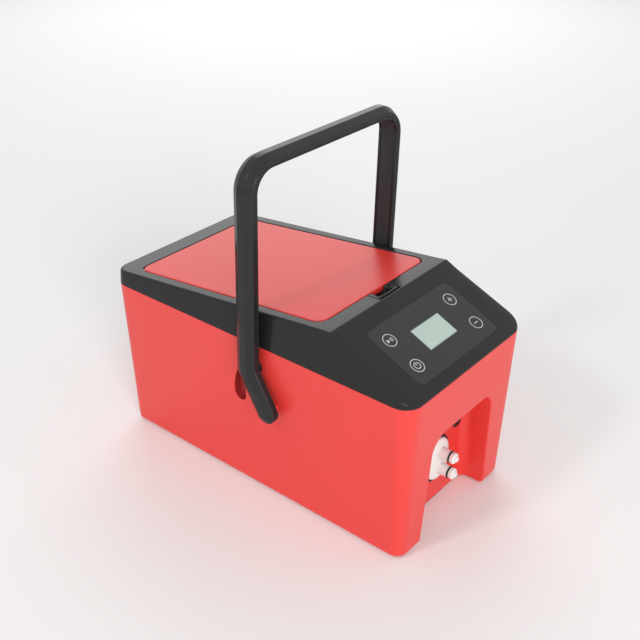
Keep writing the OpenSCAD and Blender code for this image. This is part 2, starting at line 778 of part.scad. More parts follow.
// Clip of spring steel under the lid's front: its foot hooks under the latch's nose
nose_t = 2;
nose_top = -lid_rim_h - 1.1;
nose_tip = lid_setback + 1 + latch_bite;
clip_t = 0.8;
module lid_catch() {
    foot_top = nose_top - nose_t - seat;
    leg = nose_tip + 0.5;
    color(steel) on_deck() translate([-nose_w / 2 + 1, 0, 0]) {
        translate([0, leg, foot_top - clip_t]) cube([nose_w - 2, clip_t, -lid_rim_h - foot_top + clip_t]);
        translate([0, nose_tip - latch_bite, foot_top - clip_t]) cube([nose_w - 2, latch_bite + 0.9, clip_t]);
        translate([0, leg, -lid_rim_h - clip_t]) cube([nose_w - 2, 6, clip_t]);
    }
}

module lid_screws() {
    color(steel) on_lid() at_lid_screws(-lid_rim_h) screw(4.2, 1.2, 2.5, lid_rim_h - 1.1);
}

// ---- latch ----

slide_back = open_front - 0.3;
slide_front = pocket_front + latch_travel + 0.2;
spring_r = 1.3;
spring_w = -latch_depth + 1.9;
spring_bore = 7;
module latch_slide() {
    rim = 3;
    color("#222224") on_deck() difference() {
        union() {
            translate([-latch_w / 2 + 0.5, slide_front, -latch_depth + seat])
                cube([latch_w - 1, slide_back - slide_front, latch_depth - seat - 0.2]);
            translate([-nose_w / 2, slide_back - cut, nose_top - nose_t])
                cube([nose_w, nose_tip - slide_back + cut, nose_t]);
        }
        translate([0, 0, -5.6]) linear_extrude(10)
            polygon([[-latch_w / 2 + rim + 1.6, slide_front + rim], [latch_w / 2 - rim - 1.6, slide_front + rim],
                     [latch_w / 2 - rim - 2.6, slide_back + cut], [-latch_w / 2 + rim + 2.6, slide_back + cut]]);
        bar_y(spring_r + 0.25, slide_front - cut, slide_front + spring_bore, 0, spring_w);
    }
}

// Coil about the y axis from y = 0 to y = l
module coil(r, wire, l, turns) {
    step = (l - 2 * wire - 0.2) / (turns * 8);
    hose([for (i = [0:turns * 8]) [(r - wire) * cos(45 * i), wire + 0.1 + i * step, (r - wire) * sin(45 * i)]],
         wire, 0, 6, 1);
}
module latch_spring() {
    color(steel) on_deck() translate([0, pocket_front, spring_w])
        coil(spring_r, 0.3, slide_front + spring_bore - pocket_front, 7);
}

// ---- handle ----

// Section across an arm: x is outward from the inner face, y is front to rear
module handle_section() {
    s = handle_t - handle_bevel;
    polygon([[0, -handle_d / 2], [s, -handle_d / 2], [handle_t, -handle_flat / 2],
             [handle_t, handle_flat / 2], [s, handle_d / 2], [0, handle_d / 2]]);
}
// Turned end of an arm, about the x axis, a hair slimmer than the arm
module handle_disc() {
    s = handle_t - handle_bevel;
    rotate([0, 90, 0]) {
        cylinder(d = handle_d - hair, h = s);
        translate([0, 0, s]) cylinder(d1 = handle_d - hair, d2 = handle_flat - hair, h = handle_bevel);
    }
}
// Frame at the elbows, with +z up the arms
module on_elbow() {
    translate([0, elbow_y, elbow_z]) rotate([handle_lean, 0, 0]) children();
}
// Half of a bail with the section given: arm, corner and half of the grip
module half_bail(z0) {
    ri = handle_ri;
    translate([handle_h, 0, z0]) linear_extrude(handle_rise - ri - z0) children();
    translate([handle_h - ri, 0, handle_rise - ri]) rotate([90, 0, 0])
        rotate_extrude(angle = 90, $fn = round_fn) translate([ri, 0]) children();
    translate([0, 0, handle_rise]) rotate([0, 90, 0]) linear_extrude(handle_h - ri)
        mirror([1, 0, 0]) children();
}
module liner_section(w, t) {
    translate([0, -w / 2]) square([t, w]);
}
liner_w = 14;
liner_t = 1.5;
liner_z = 22;

module handle_frame() {
    color(black) difference() {
        union() {
            on_elbow() both_sides() half_bail(0) handle_section();
            both_sides() {
                translate([handle_h, elbow_y, elbow_z]) handle_disc();
                translate([handle_h, pivot_y, pivot_z]) {
                    handle_disc();
                    rotate([-elbow_a, 0, 0]) linear_extrude(elbow_l) handle_section();
                }
                bar_x(stub_r, slot_floor + 0.6, handle_h + cut, elbow_y, elbow_z);
            }
        }
        on_elbow() both_sides() half_bail(liner_z) translate([-0.5, 0]) liner_section(liner_w + 0.6, liner_t + 0.7);
        both_sides() bar_x(bush_r, handle_h - cut, handle_h + bush_l, pivot_y, pivot_z);
    }
}

module handle_liner() {
    color("#232325") on_elbow() both_sides() half_bail(liner_z + 0.3) liner_section(liner_w, liner_t);
}

module guide_sleeves() {
    color(grey) both_sides() difference() {
        bar_x(sleeve_d / 2, slot_floor + 0.4, handle_h - 0.2, elbow_y, elbow_z);
        bar_x(stub_r + run_play, slot_floor - cut, handle_h + cut, elbow_y, elbow_z);
    }
}

module handle_bushes() {
    color(grey) both_sides() difference() {
        bar_x(bush_r, handle_h + 0.1, handle_h + bush_l, pivot_y, pivot_z);
        bar_x(pivot_d / 2 + run_play, handle_h - cut, handle_h + bush_l + cut, pivot_y, pivot_z);
    }
}

pin_head_x = body_w / 2 - wall - 0.1;
module pivot_pins() {
    color(steel) both_sides() {
        bar_x(pivot_d / 2, pin_head_x - 1, handle_h + bush_l - 0.4, pivot_y, pivot_z);
        bar_x(7, pin_head_x - 3.2, pin_head_x - 0.8, pivot_y, pivot_z);
    }
}
module pivot_washers() {
    color(steel) both_sides() difference() {
        bar_x(8, pin_head_x - 0.7, pin_head_x, pivot_y, pivot_z);
        bar_x(pivot_d / 2 + run_play, pin_head_x - 2, pin_head_x + 2, pivot_y, pivot_z);
    }
}

// ---- control panel ----

module control_foil() {
    color("#3a3a3c") on_panel() difference() {
        plate(foil_w, foil_l, 6, hair - foil_t, 0);
        plate(lcd_w + 0.6, lcd_l + 0.6, 0.8, -cut, cut);
        for (sx = [-1, 1], sy = [-1, 1]) translate([sx * key_dx, sy * key_dy, -cut]) cylinder(d = key_d, h = 2 * cut);
    }
}

key_skirt = 1.1;
key_under = top_wall + 0.3;
switch_t = 3.6;
module key(sx, sy) {
    color("#3a3a3c") on_panel() translate([sx * key_dx, sy * key_dy, 0]) {
        translate([0, 0, -key_under - key_skirt]) cylinder(d = key_d - 0.5, h = key_under + key_skirt);
        translate([0, 0, -key_under - key_skirt]) cylinder(d = key_d + 2.4, h = key_skirt);
        translate([0, 0, -pcb_depth + 0.5 + key_travel]) cylinder(d = 3.2, h = pcb_depth - key_under - key_travel);
    }
}
module key_play() { key(-1, 1); }
module key_plus() { key(1, 1); }
module key_power() { key(-1, -1); }
module key_minus() { key(1, -1); }

module display_window() {
    color([0.7, 0.76, 0.73, 0.6]) on_panel() plate(lcd_w + 0.4, lcd_l + 0.4, 0.6, -1.5, 0);
}
module display_module() {
    color("#b5beb9") on_panel() {
        plate(lcd_w + 6, lcd_l + 8, 1, -top_wall - 2.8, -top_wall - 0.1);
        plate(lcd_w + 4, lcd_l + 4, 1, -pcb_depth + 0.05, -top_wall - 2.7);
    }
}
module control_board() {
    color(green) on_panel() difference() {
        plate(2 * pcb_post_x + 7, 2 * pcb_post_y + 7, 3, -pcb_depth - pcb_t - 0.1, -pcb_depth - 0.05);
        for (sx = [-1, 1], sy = [-1, 1]) translate([sx * pcb_post_x, sy * pcb_post_y, -2 * pcb_depth])
            cylinder(d = 2.6, h = 2 * pcb_depth);
    }
}
module key_switches() {
    color("#1d1d1f") on_panel() for (sx = [-1, 1], sy = [-1, 1]) difference() {
        translate([sx * key_dx, sy * key_dy, -pcb_depth + switch_t / 2])
            cube([6, 6, switch_t], center = true);
        translate([sx * key_dx, sy * key_dy, -pcb_depth + 0.4]) cylinder(d = 3.4, h = switch_t);
    }
}
module board_screw() {
    screw(4.2, 1.5, 1.9, 7);
}
module board_screws() {
    color(steel) {
        on_panel() for (sx = [-1, 1], sy = [-1, 1])
            translate([sx * pcb_post_x, sy * pcb_post_y, -pcb_depth - pcb_t - 0.15]) board_screw();
        for (sx = [-1, 1], sz = [-1, 1])
            translate([driver_x + sx * driver_dx, driver_y + pcb_t + 0.15, driver_z + sz * driver_dz])
                rotate([90, 0, 0]) board_screw();
    }
}

// ---- hose coupling and power socket ----

tail_nut_r = 5.6;
nipple_r = nipple_d / 2;
// Level of each feature of a nipple in front of the flange
barrel_l = 11.2;
groove_l = ring_cord + 0.2;

module on_coupling() {
    translate([coupling_x, recess_y, coupling_z]) rotate([90, 0, 0]) children();
}
module coupling_backing() {
    color(black) on_coupling() difference() {
        linear_extrude(backing_t) stadium(flange_w + 2 * backing_rim, flange_l + 2 * backing_rim);
        for (s = [-1, 1]) translate([0, s * nipple_pitch / 2, -cut]) cylinder(r = tail_nut_r, h = backing_t + 2 * cut);
    }
}
module coupling_flange() {
    color(white) on_coupling() difference() {
        union() {
            translate([0, 0, backing_t]) linear_extrude(flange_t) stadium(flange_w, flange_l);
            translate([0, 0, backing_t + flange_t]) linear_extrude(1) stadium(flange_w - 3.4, flange_l - 3.4);
            translate([0, 0, backing_t + flange_t + 1]) linear_extrude(0.9) stadium(flange_w - 8, flange_l - 8);
        }
        for (s = [-1, 1]) translate([0, s * nipple_pitch / 2, 0]) cylinder(r = tail_nut_r, h = 4 * flange_t);
    }
}
flange_face = backing_t + flange_t + 1.9;

// Nipple along its axis: hose tail, thread, barrel, groove, head
module nipple_at(s) {
    z_bar = flange_face + 0.05;
    z_ring = backing_t + flange_t + barrel_l;
    on_coupling() translate([0, s * nipple_pitch / 2, 0]) difference() {
        union() {
            translate([0, 0, -wall - 14]) cylinder(d = tail_d, h = 14);
            translate([0, 0, -wall - 8]) cylinder(r = tail_nut_r - 0.15, h = 8 + wall + z_bar);
            translate([0, 0, z_bar]) cylinder(r1 = nipple_r + 0.6, r2 = nipple_r, h = z_ring - z_bar - 0.9);
            translate([0, 0, z_bar]) cylinder(r = nipple_r - ring_cord * 0.62, h = z_ring + groove_l - z_bar + 0.3);
            translate([0, 0, z_ring + groove_l]) cylinder(r = nipple_r, h = head_end - 1 - z_ring - groove_l);
            translate([0, 0, head_end - 1]) cylinder(r1 = nipple_r, r2 = nipple_r - 1, h = 1);
            translate([0, 0, z_ring - 0.9]) cylinder(r = nipple_r, h = 0.8);
        }
        translate([0, 0, -wall - 14 - cut]) cylinder(d = tail_d - 2.2, h = 20);
        translate([0, 0, spring_seat]) cylinder(r = valve_bore_r, h = 40);
    }
}
valve_bore_r = 3.1;
module nipple_supply() { color(white) nipple_at(1); }
module nipple_return() { color(white) nipple_at(-1); }

module sealing_rings() {
    z_ring = backing_t + flange_t + barrel_l;
    rr = nipple_r - ring_cord * 0.62 + ring_cord / 2 + 0.05;
    color("#141414") on_coupling() for (s = [-1, 1])
        translate([0, s * nipple_pitch / 2, z_ring + groove_l / 2])
            rotate_extrude() translate([rr, 0]) circle(d = ring_cord, $fn = 24);
}

// Sprung valve pin that closes the nipple's bore
head_end = backing_t + flange_t + nipple_l - 2;
valve_l = 9;
spring_seat = -wall + 2;
module valve_at(s) {
    color(white) on_coupling() translate([0, s * nipple_pitch / 2, 0]) {
        translate([0, 0, head_end - valve_l]) cylinder(r = valve_bore_r - 0.1, h = valve_l);
        translate([0, 0, head_end]) cylinder(r1 = valve_bore_r - 0.1, r2 = valve_bore_r - 1, h = valve_travel);
        translate([0, 0, head_end - valve_l - 4]) cylinder(r = 1.2, h = 5);
    }
}
module valve_springs() {
    color(steel) on_coupling() for (s = [-1, 1]) translate([0, s * nipple_pitch / 2, spring_seat])
        rotate([90, 0, 0]) coil(2.6, 0.3, head_end - valve_l - spring_seat, 6);
}
module valve_supply() { valve_at(1); }
module valve_return() { valve_at(-1); }

module coupling_nuts() {
    color(white) on_coupling() for (s = [-1, 1]) translate([0, s * nipple_pitch / 2, -wall - 4.6]) difference() {
        cylinder(d = 16, h = 4.5, $fn = 6);
        translate([0, 0, -cut]) cylinder(r = tail_nut_r - 0.1, h = 5 + 2 * cut);
    }
}

socket_r = 5.3;
module power_socket() {
    color("#1a1a1c") {
        difference() {
            union() {
                bar_y(7, recess_y - 2, recess_y, jack_x, jack_z);
                bar_y(socket_r, recess_y - cut, lining_y + 10, jack_x, jack_z);
            }
            bar_y(3.2, recess_y - 3, recess_y + 8, jack_x, jack_z);
        }
        bar_y(1, recess_y - 1, recess_y + 9, jack_x, jack_z);
    }
}
module socket_nut() {
    color(steel) difference() {
        translate([jack_x, lining_y + 2.6, jack_z]) rotate([90, 0, 0]) cylinder(d = 15, h = 2.5, $fn = 6);
        bar_y(socket_r + hair, lining_y - cut, lining_y + 4, jack_x, jack_z);
    }
}

// ---- pump ----

// Pump frame: axis along +z, which points to +x in the body
module on_pump() {
    translate([pump_x, pump_y, pump_z]) rotate([0, 90, 0]) children();
}
chamber_h = 16;
impeller_d = 30;
outlet_off = 13;
outlet_top = 8;
module pump_chamber() {
    color("#3b4046") on_pump() difference() {
        union() {
            translate([0, 0, -chamber_h / 2]) cylinder(d = pump_d, h = chamber_h);
            translate([0, outlet_off, 0]) rotate([0, -90, 0]) cylinder(d = tail_d, h = pump_d / 2 + outlet_top);
        }
        translate([0, 0, -chamber_h / 2 + 2.5]) cylinder(d = impeller_d + 4, h = chamber_h);
        translate([0, 0, -chamber_h]) cylinder(d = 4.2, h = chamber_h);
        translate([0, outlet_off, 0]) rotate([0, -90, 0]) cylinder(d = tail_d - 2.2, h = pump_d);
    }
}
module pump_cover() {
    color("#3b4046") on_pump() translate([0, 0, chamber_h / 2 + 0.1]) difference() {
        union() {
            cylinder(d = pump_d, h = 3);
            cylinder(d = tail_d, h = 14);
        }
        translate([0, 0, -cut]) cylinder(d = tail_d - 2.2, h = 20);
    }
}
module pump_motor() {
    color(grey) on_pump() difference() {
        union() {
            translate([0, 0, -chamber_h / 2 - 38]) cylinder(d = 30, h = 37.9);
            translate([0, 0, -chamber_h / 2 - 41]) cylinder(d = 12, h = 4);
        }
        translate([0, 0, -chamber_h / 2 - 30]) cylinder(d = 4.1, h = 40);
    }
}
module pump_impeller() {
    color(white) on_pump() {
        translate([0, 0, -chamber_h / 2 - 28]) cylinder(d = 4, h = 32);
        translate([0, 0, -chamber_h / 2 + 3.2]) cylinder(d = impeller_d, h = 1.6);
        for (i = [0:5]) rotate(60 * i) translate([2, -0.8, -chamber_h / 2 + 4]) cube([impeller_d / 2 - 3, 1.6, 6]);
        translate([0, 0, -chamber_h / 2 + 3.2]) cylinder(d = 7, h = 7);
    }
}
saddle_x0 = -chamber_h / 2 - 32;
module pump_bracket() {
    h = pump_z - base_z - floor_t - 0.1;
    color(steel) difference() {
        translate([pump_x + saddle_x0, pump_y - 22, base_z + floor_t + 0.1]) cube([24, 44, h]);
        bar_x(15.1, pump_x - 80, pump_x + 40, pump_y, pump_z);
        for (s = [-1, 1]) translate([pump_x + saddle_x0 + 12, pump_y + s * 18.7, 0]) cylinder(d = 3.2, h = 2 * pump_z);
    }
}
module pump_screws() {
    color(steel) for (s = [-1, 1])
        translate([pump_x + saddle_x0 + 12, pump_y + s * 18.7, pump_z + 0.05])
            rotate([180, 0, 0]) screw(5.4, 1.8, 3, pump_z - base_z - floor_t - 0.6);
}

// ---- hoses, boards and leads ----

inlet_x = pump_x + chamber_h / 2 + 4.2;
tail_y = lining_y + 9;
outlet_y = pump_y + outlet_off;
outlet_z = pump_z + pump_d / 2 + 1.2;
supply_z = nipple_zs[0];
drain_z = nipple_zs[1];

module suction_hose() {
    color("#d8dde0") hose([
        [inlet_x, pump_y, pump_z], [inlet_x + 5, pump_y, pump_z], [inlet_x + 11, pump_y, pump_z],
        [suction_x - 4, pump_y + 3, pump_z], [suction_x - 1, pump_y + 10, suction_z],
        [suction_x, tank_front - 16, suction_z], [suction_x, tank_front - 10, suction_z],
        [suction_x, tank_front - 1, suction_z]
    ], hose_d / 2, hose_bore / 2);
}
module supply_hose() {
    color("#d8dde0") hose([
        [pump_x, outlet_y, outlet_z], [pump_x, outlet_y, outlet_z + 5], [pump_x, outlet_y, outlet_z + 10],
        [pump_x + 5, outlet_y, outlet_z + 19], [pump_x + 15, outlet_y - 1, outlet_z + 22],
        [coupling_x - 5, outlet_y - 4, supply_z + 8], [coupling_x, tail_y + 17, supply_z + 1],
        [coupling_x, tail_y + 12, supply_z], [coupling_x, tail_y + 6, supply_z], [coupling_x, tail_y, supply_z]
    ], hose_d / 2, hose_bore / 2);
}
module return_hose() {
    color("#d8dde0") hose([
        [coupling_x, tail_y, drain_z], [coupling_x, tail_y + 6, drain_z], [coupling_x, tail_y + 12, drain_z],
        [coupling_x + 7, tail_y + 20, drain_z + 1], [coupling_x + 20, tail_y + 26, drain_z + 12],
        [return_x - 3, foam_front - 16, drain_z + 36], [return_x, foam_front - 16, return_z - 28],
        [return_x, foam_front - 14, return_z - 10], [return_x, foam_front - 6, return_z - 1],
        [return_x, tank_front - 12, return_z], [return_x, tank_front - 7, return_z],
        [return_x, tank_front - 1, return_z]
    ], hose_d / 2, hose_bore / 2);
}
module clip() {
    difference() {
        cylinder(r = hose_d / 2 + 1.4, h = 4);
        translate([0, 0, -cut]) cylinder(r = hose_d / 2 + 0.2, h = 6);
    }
}
module hose_clips() {
    color(steel) {
        translate([inlet_x + 2, pump_y, pump_z]) rotate([0, 90, 0]) clip();
        translate([pump_x, outlet_y, outlet_z + 2]) clip();
        for (z = nipple_zs) translate([coupling_x, tail_y + 6, z]) rotate([90, 0, 0]) clip();
    }
}

driver_x = -31;
driver_z = base_z + 78;
driver_dx = 14;
driver_dz = 20;
driver_y = lining_y + 8;
module driver_board() {
    color(green) difference() {
        translate([driver_x - 18, driver_y + 0.1, driver_z - 25]) cube([36, pcb_t, 50]);
        for (sx = [-1, 1], sz = [-1, 1])
            bar_y(1.2, driver_y - cut, driver_y + 4, driver_x + sx * driver_dx, driver_z + sz * driver_dz);
    }
}
module driver_parts() {
    y = driver_y + pcb_t + 0.15;
    color("#26262a") {
        translate([driver_x - 12, y, driver_z - 2]) cube([12, 3, 12]);
        bar_y(4, y, y + 9, driver_x + 9, driver_z + 7);
        bar_y(4, y, y + 9, driver_x + 9, driver_z - 4);
        translate([driver_x - 14, y, driver_z - 16]) cube([10, 7, 6]);
        translate([driver_x + 2, y, driver_z - 16]) cube([10, 7, 6]);
        translate([driver_x - 6, y, driver_z + 14]) cube([16, 5, 4]);
    }
}

module control_lead() {
    y = driver_y + pcb_t + 3;
    z = driver_z + 18.1;
    color("#9aa0a6") hose([
        [driver_x + 2, y, z], [driver_x + 2, y, z + 14], [driver_x + 4, y - 1, z + 30],
        [driver_x + 8, y - 1, panel_z(y, pcb_depth + pcb_t + 10)],
        [driver_x + 8, y - 2, panel_z(y - 2, pcb_depth + pcb_t + 0.5)]
    ], 1.6, 0, 8, 3);
}
module pump_lead() {
    color("#7a1f1c") hose([
        [driver_x - 9, driver_y + pcb_t + 3.4, driver_z - 16.4], [driver_x - 10, driver_y + pcb_t + 4, driver_z - 26],
        [pump_x - 26, pump_y - 10, pump_z + 32], [pump_x - 34, pump_y - 2, pump_z + 27],
        [pump_x - 37, pump_y, pump_z + 21], [pump_x - 37, pump_y, pump_z + 15.4]
    ], 1.2, 0, 8, 3);
}
module socket_lead() {
    color("#1d1d1f") hose([
        [driver_x + 7, driver_y + pcb_t + 3.4, driver_z - 16.4], [driver_x + 9, driver_y + pcb_t + 8, driver_z - 24],
        [coupling_x - 12, lining_y + 34, driver_z - 4], [coupling_x + 8, lining_y + 36, driver_z + 6],
        [jack_x - 4, lining_y + 24, jack_z + 5], [jack_x, lining_y + 15, jack_z], [jack_x, lining_y + 10.4, jack_z]
    ], 1.2, 0, 8, 3);
}

module probe_lead() {
    color("#1d1d1f") hose([
        [probe_x, tank_front - 4, probe_z], [probe_x, tank_front - 7, probe_z],
        [probe_x - 1, foam_front - 4, probe_z + 4], [probe_x, foam_front - 14, probe_z + 16],
        [driver_x - 7, driver_y + 22, driver_z + 10], [driver_x - 6, driver_y + pcb_t + 12, driver_z + 14],
        [driver_x - 4, driver_y + pcb_t + 5.6, driver_z + 16]
    ], 1.2, 0, 8, 3);
}

lower_shell();
top_housing();
feet();
housing_screws();
tank();
tank_foam();
strainer();
temperature_probe();
lid_cover();
lid_plug();
lid_foam();
lid_seal();
lid_hinge_pins();
lid_catch();
lid_screws();
latch_slide();
latch_spring();
handle_frame();
handle_liner();
guide_sleeves();
handle_bushes();
pivot_pins();
pivot_washers();
control_foil();
key_play();
key_plus();
key_power();
key_minus();
display_window();
display_module();
control_board();
key_switches();
board_screws();
coupling_backing();
coupling_flange();
nipple_supply();
nipple_return();
sealing_rings();
valve_supply();
valve_return();
valve_springs();
coupling_nuts();
power_socket();
socket_nut();
pump_chamber();
pump_cover();
pump_motor();
pump_impeller();
pump_bracket();
pump_screws();
suction_hose();
supply_hose();
return_hose();
hose_clips();
driver_board();
driver_parts();
control_lead();
pump_lead();
socket_lead();
probe_lead();
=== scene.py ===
"""Looks of a portable hot and cold therapy machine, laid out as an add-on.

Every new piece is a surface worked out with numpy in millimetres and written to
its mesh in metres. Every carried solid gets a procedural material.
"""

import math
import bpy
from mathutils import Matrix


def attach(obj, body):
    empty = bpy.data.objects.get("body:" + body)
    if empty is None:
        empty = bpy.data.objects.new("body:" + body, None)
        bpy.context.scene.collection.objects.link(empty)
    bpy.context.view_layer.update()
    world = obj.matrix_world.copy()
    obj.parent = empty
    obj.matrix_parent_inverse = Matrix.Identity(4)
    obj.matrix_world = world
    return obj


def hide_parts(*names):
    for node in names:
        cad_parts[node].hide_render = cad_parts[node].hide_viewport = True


bl_info = {
    "name": "Hot and Cold Therapy Machine",
    "version": (1, 0, 0),
    "blender": (4, 5, 0),
    "location": "3D View > Sidebar > Machine",
    "description": "Builds the shown pieces and materials of the machine",
    "category": "Add Mesh",
}

from types import SimpleNamespace

import bmesh
import bpy
import numpy as np
from mathutils import Matrix

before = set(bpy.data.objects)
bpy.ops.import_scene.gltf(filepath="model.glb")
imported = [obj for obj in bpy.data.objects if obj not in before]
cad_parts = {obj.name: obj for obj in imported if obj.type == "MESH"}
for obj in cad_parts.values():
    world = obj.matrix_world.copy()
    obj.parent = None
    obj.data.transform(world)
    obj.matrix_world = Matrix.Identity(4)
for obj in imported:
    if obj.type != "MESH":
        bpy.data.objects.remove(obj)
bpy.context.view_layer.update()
MM = 0.001
PREFIX = "machine_"
RIGHT_ANGLE = math.pi / 2

# fixed sizes in millimetres
ROOF_THICK = 4.0  # wall of the black top
WALL = 3.0  # wall of the red body and of the lid's ledge
POCKET_HALF = 14.5  # half the width of the latch pocket
POCKET_START = 1.2  # distance from the fold to the latch pocket
LEDGE_DROP = 9.8  # depth of the ledge under the deck
SLOT_ENDS = (math.radians(-3.8), math.radians(61.8))  # turns of the guide slot's ends about the pivot
SLOT_MIDDLE = (41.5, 0.506)  # distance and turn of the slot's middle from the pivot
SLOT_BOX = ((12.5, 45.0), (120.0, 38.0))  # middle and half size, in y and z, of a box round the slots
KEY_HOLE = 7.0  # radius of the foil's key holes
KEY_CELL = 9.0  # half the square of foil round a key
DISPLAY_CELL = 26.0  # half the width of foil round the display
DISPLAY_HOLE = (20.1, 12.0)  # half the display's hole

KEYS = {"play": (-1, 1), "plus": (1, 1), "power": (-1, -1), "minus": (1, -1)}  # column and row of each key


# ---- settings that a user would change ----


def length(label, note, millimetres):
    """A length setting, given here in millimetres."""
    return bpy.props.FloatProperty(
        name=label, description=note, default=millimetres * MM, unit="LENGTH", precision=5
    )


def angle(label, note, degrees):
    """An angle setting, given here in degrees."""
    turn = math.radians(degrees)
    return bpy.props.FloatProperty(name=label, description=note, default=turn, subtype="ANGLE")


def colour(label, note, value):
    """A linear colour setting."""
    return bpy.props.FloatVectorProperty(
        name=label, description=note, default=value, size=3, min=0.0, max=1.0, subtype="COLOR"
    )


class MachineSizes(bpy.types.PropertyGroup):
    """Sizes of the shown pieces."""

    base: length("Base height", "Height of the body's underside", 1.5)
    corner_x: length("Corner centre x", "Sideways place of the body's corner centres", 71.0)
    corner_y: length("Corner centre y", "Lengthwise place of the body's corner centres", 154.0)
    corner: length("Corner radius", "Upright corner radius at the underside", 11.0)
    draft: angle("Draft", "Outward lean of the red sides", 1.9)
    foot_edge: length("Underside edge", "Radius of the edge round the underside", 4.0)
    part: length("Joint height", "Height of the joint between red body and black top", 157.5)
    lip: length("Joint edge", "Radius of the red edge at the joint", 0.6)
    top_lean: angle("Top lean", "Inward lean of the black sides", 4.5)
    fold_y: length("Fold place", "Lengthwise place of the fold", -88.675)
    fold_z: length("Fold height", "Height of the fold", 198.0)
    deck_tilt: angle("Deck tilt", "Fall of the deck to the rear", 6.05)
    panel_tilt: angle("Panel tilt", "Fall of the control panel to the front", 24.6)
    fold_soft: length("Fold softness", "Half the width of the rounding at the fold", 0.5)
    crown: length("Panel crown", "Fall of the panel's outline under its flat", 1.1)
    crown_wide: length("Crown width", "Width over which the panel's crown falls", 9.5)
    deck_edge: length("Deck edge", "Width of the softened deck edge", 2.4)
    panel_edge: length("Panel edge", "Width of the softened panel edge", 0.8)
    arch_half: length("Arch half width", "Half the recess width at the underside", 51.5)
    arch_top: length("Arch top", "Height of the recess top", 109.0)
    arch_round: length("Arch rounding", "Radius of the recess top corners", 17.0)
    arch_lean: angle("Arch lean", "Inward lean of the recess sides", 3.2)
    recess_y: length("Recess wall", "Lengthwise place of the recess wall", -140.5)
    recess_round: length("Recess corner", "Radius of the recess inner corners", 9.0)
    opening_edge: length("Opening edge", "Radius of the edge round recess and slots", 1.2)
    boss: length("Pivot boss", "Radius of the boss behind the handle's pivot", 4.6)
    pivot_y: length("Pivot y", "Lengthwise place of the handle pivot", -30.0)
    pivot_z: length("Pivot z", "Height of the handle pivot", 101.0)
    elbow: length("Lower arm", "Distance from the pivot to the elbow", 40.7)
    elbow_turn: angle("Elbow angle", "Lean of the lower arm from upright", 30.2)
    handle_lean: angle("Handle lean", "Forward lean of the upright arms", 1.4)
    handle_in: length("Handle half gap", "Half the width between the arms", 91.3)
    handle_rise: length("Handle rise", "Height of the grip's inner face over the elbows", 179.9)
    handle_bend: length("Handle bend", "Inner radius of the handle corners", 18.5)
    handle_thick: length("Handle thickness", "Thickness of the bail", 10.0)
    handle_wide: length("Handle width", "Width of the bail from front to rear", 20.0)
    slot_half: length("Slot half width", "Half the width of the guide slots", 6.6)
    slot_floor: length("Slot floor", "Sideways place of the slot floors", 79.0)
    lid_half: length("Lid half width", "Half the width of the lid", 74.0)
    lid_long: length("Lid half length", "Half the length of the lid", 109.6)
    lid_round: length("Lid corner", "Corner radius of the lid", 10.0)
    lid_middle: length("Lid middle", "Distance from the fold to the lid's middle", 126.4)
    lid_gap: length("Lid gap", "Gap round the lid", 1.0)
    foil_x: length("Foil half width", "Half the width of the control foil", 58.0)
    foil_y: length("Foil half height", "Half the height of the control foil", 31.0)
    foil_bed: length("Foil bed", "Depth of the hollow under the foil", 2.5)
    panel_middle: length("Controls", "Distance from the fold down to the middle of the controls", 48.2)
    key_x: length("Key columns", "Sideways place of the keys", 44.0)
    key_y: length("Key rows", "Place of the key rows from the middle of the controls", 15.1)
    coupling_x: length("Coupling x", "Sideways place of the hose coupling", 4.0)
    coupling_z: length("Coupling z", "Height of the hose coupling", 48.2)
    nipple_gap: length("Nipple distance", "Distance between the two nipples", 17.0)
    jack_x: length("Socket x", "Sideways place of the power socket", 35.0)
    jack_z: length("Socket z", "Height of the power socket", 72.5)


class MachineColours(bpy.types.PropertyGroup):
    """Colours of the finishes."""

    body: colour("Red body", "Moulded red of body and lid", (0.78, 0.044, 0.036))
    black: colour("Black top", "Moulded black of the top", (0.016, 0.016, 0.0165))
    panel: colour("Control foil", "Dark foil of the control panel", (0.031, 0.032, 0.0315))
    print_grey: colour("Key print", "Grey of the printed signs", (0.5, 0.5, 0.5))
    display: colour("Display", "Unlit display glass", (0.43, 0.53, 0.48))
    fitting: colour("Fittings", "White nylon of coupling and nipples", (0.82, 0.82, 0.80))
    rubber: colour("Rubber", "Black rubber of rings, backing and feet", (0.012, 0.012, 0.013))
    floor: colour("Floor", "Pale floor", (0.90, 0.90, 0.90))


def sizes():
    """The size settings as plain numbers: lengths in millimetres, angles in radians."""
    group = bpy.context.scene.machine_sizes
    told = {
        key: getattr(group, key) / (MM if prop.unit == "LENGTH" else 1.0)
        for key, prop in group.bl_rna.properties.items()
        if prop.type == "FLOAT"
    }
    s = SimpleNamespace(**told)
    s.part_radius = s.corner + math.tan(s.draft) * (s.part - s.base)
    return s


def tints():
    """The colour settings."""
    return bpy.context.scene.machine_colours


# ---- curves and frames ----


def steps(*stops):
    """Numbers through the given (value, count) stops, evenly spaced between neighbours."""
    parts = [np.linspace(a[0], b[0], b[1], endpoint=False) for a, b in zip(stops[:-1], stops[1:])]
    return np.concatenate([*parts, [stops[-1][0]]])


def tipped(points, turn, y=0.0, z=0.0):
    """Points turned about x by an angle, then moved: y' = y cos a - z sin a, z' = y sin a + z cos a."""
    p = np.asarray(points, float)
    c, n = math.cos(turn), math.sin(turn)
    return np.stack([p[..., 0], y + p[..., 1] * c - p[..., 2] * n, z + p[..., 1] * n + p[..., 2] * c], -1)


def on_deck(points, s):
    """Deck frame to machine frame: the origin lies on the fold and y runs rearwards along the deck."""
    return tipped(points, -s.deck_tilt, s.fold_y, s.fold_z)


def on_panel(points, s):
    """Panel frame to machine frame: the origin lies in the middle of the controls."""
    return tipped(np.asarray(points, float) - [0, s.panel_middle, 0], s.panel_tilt, s.fold_y, s.fold_z)


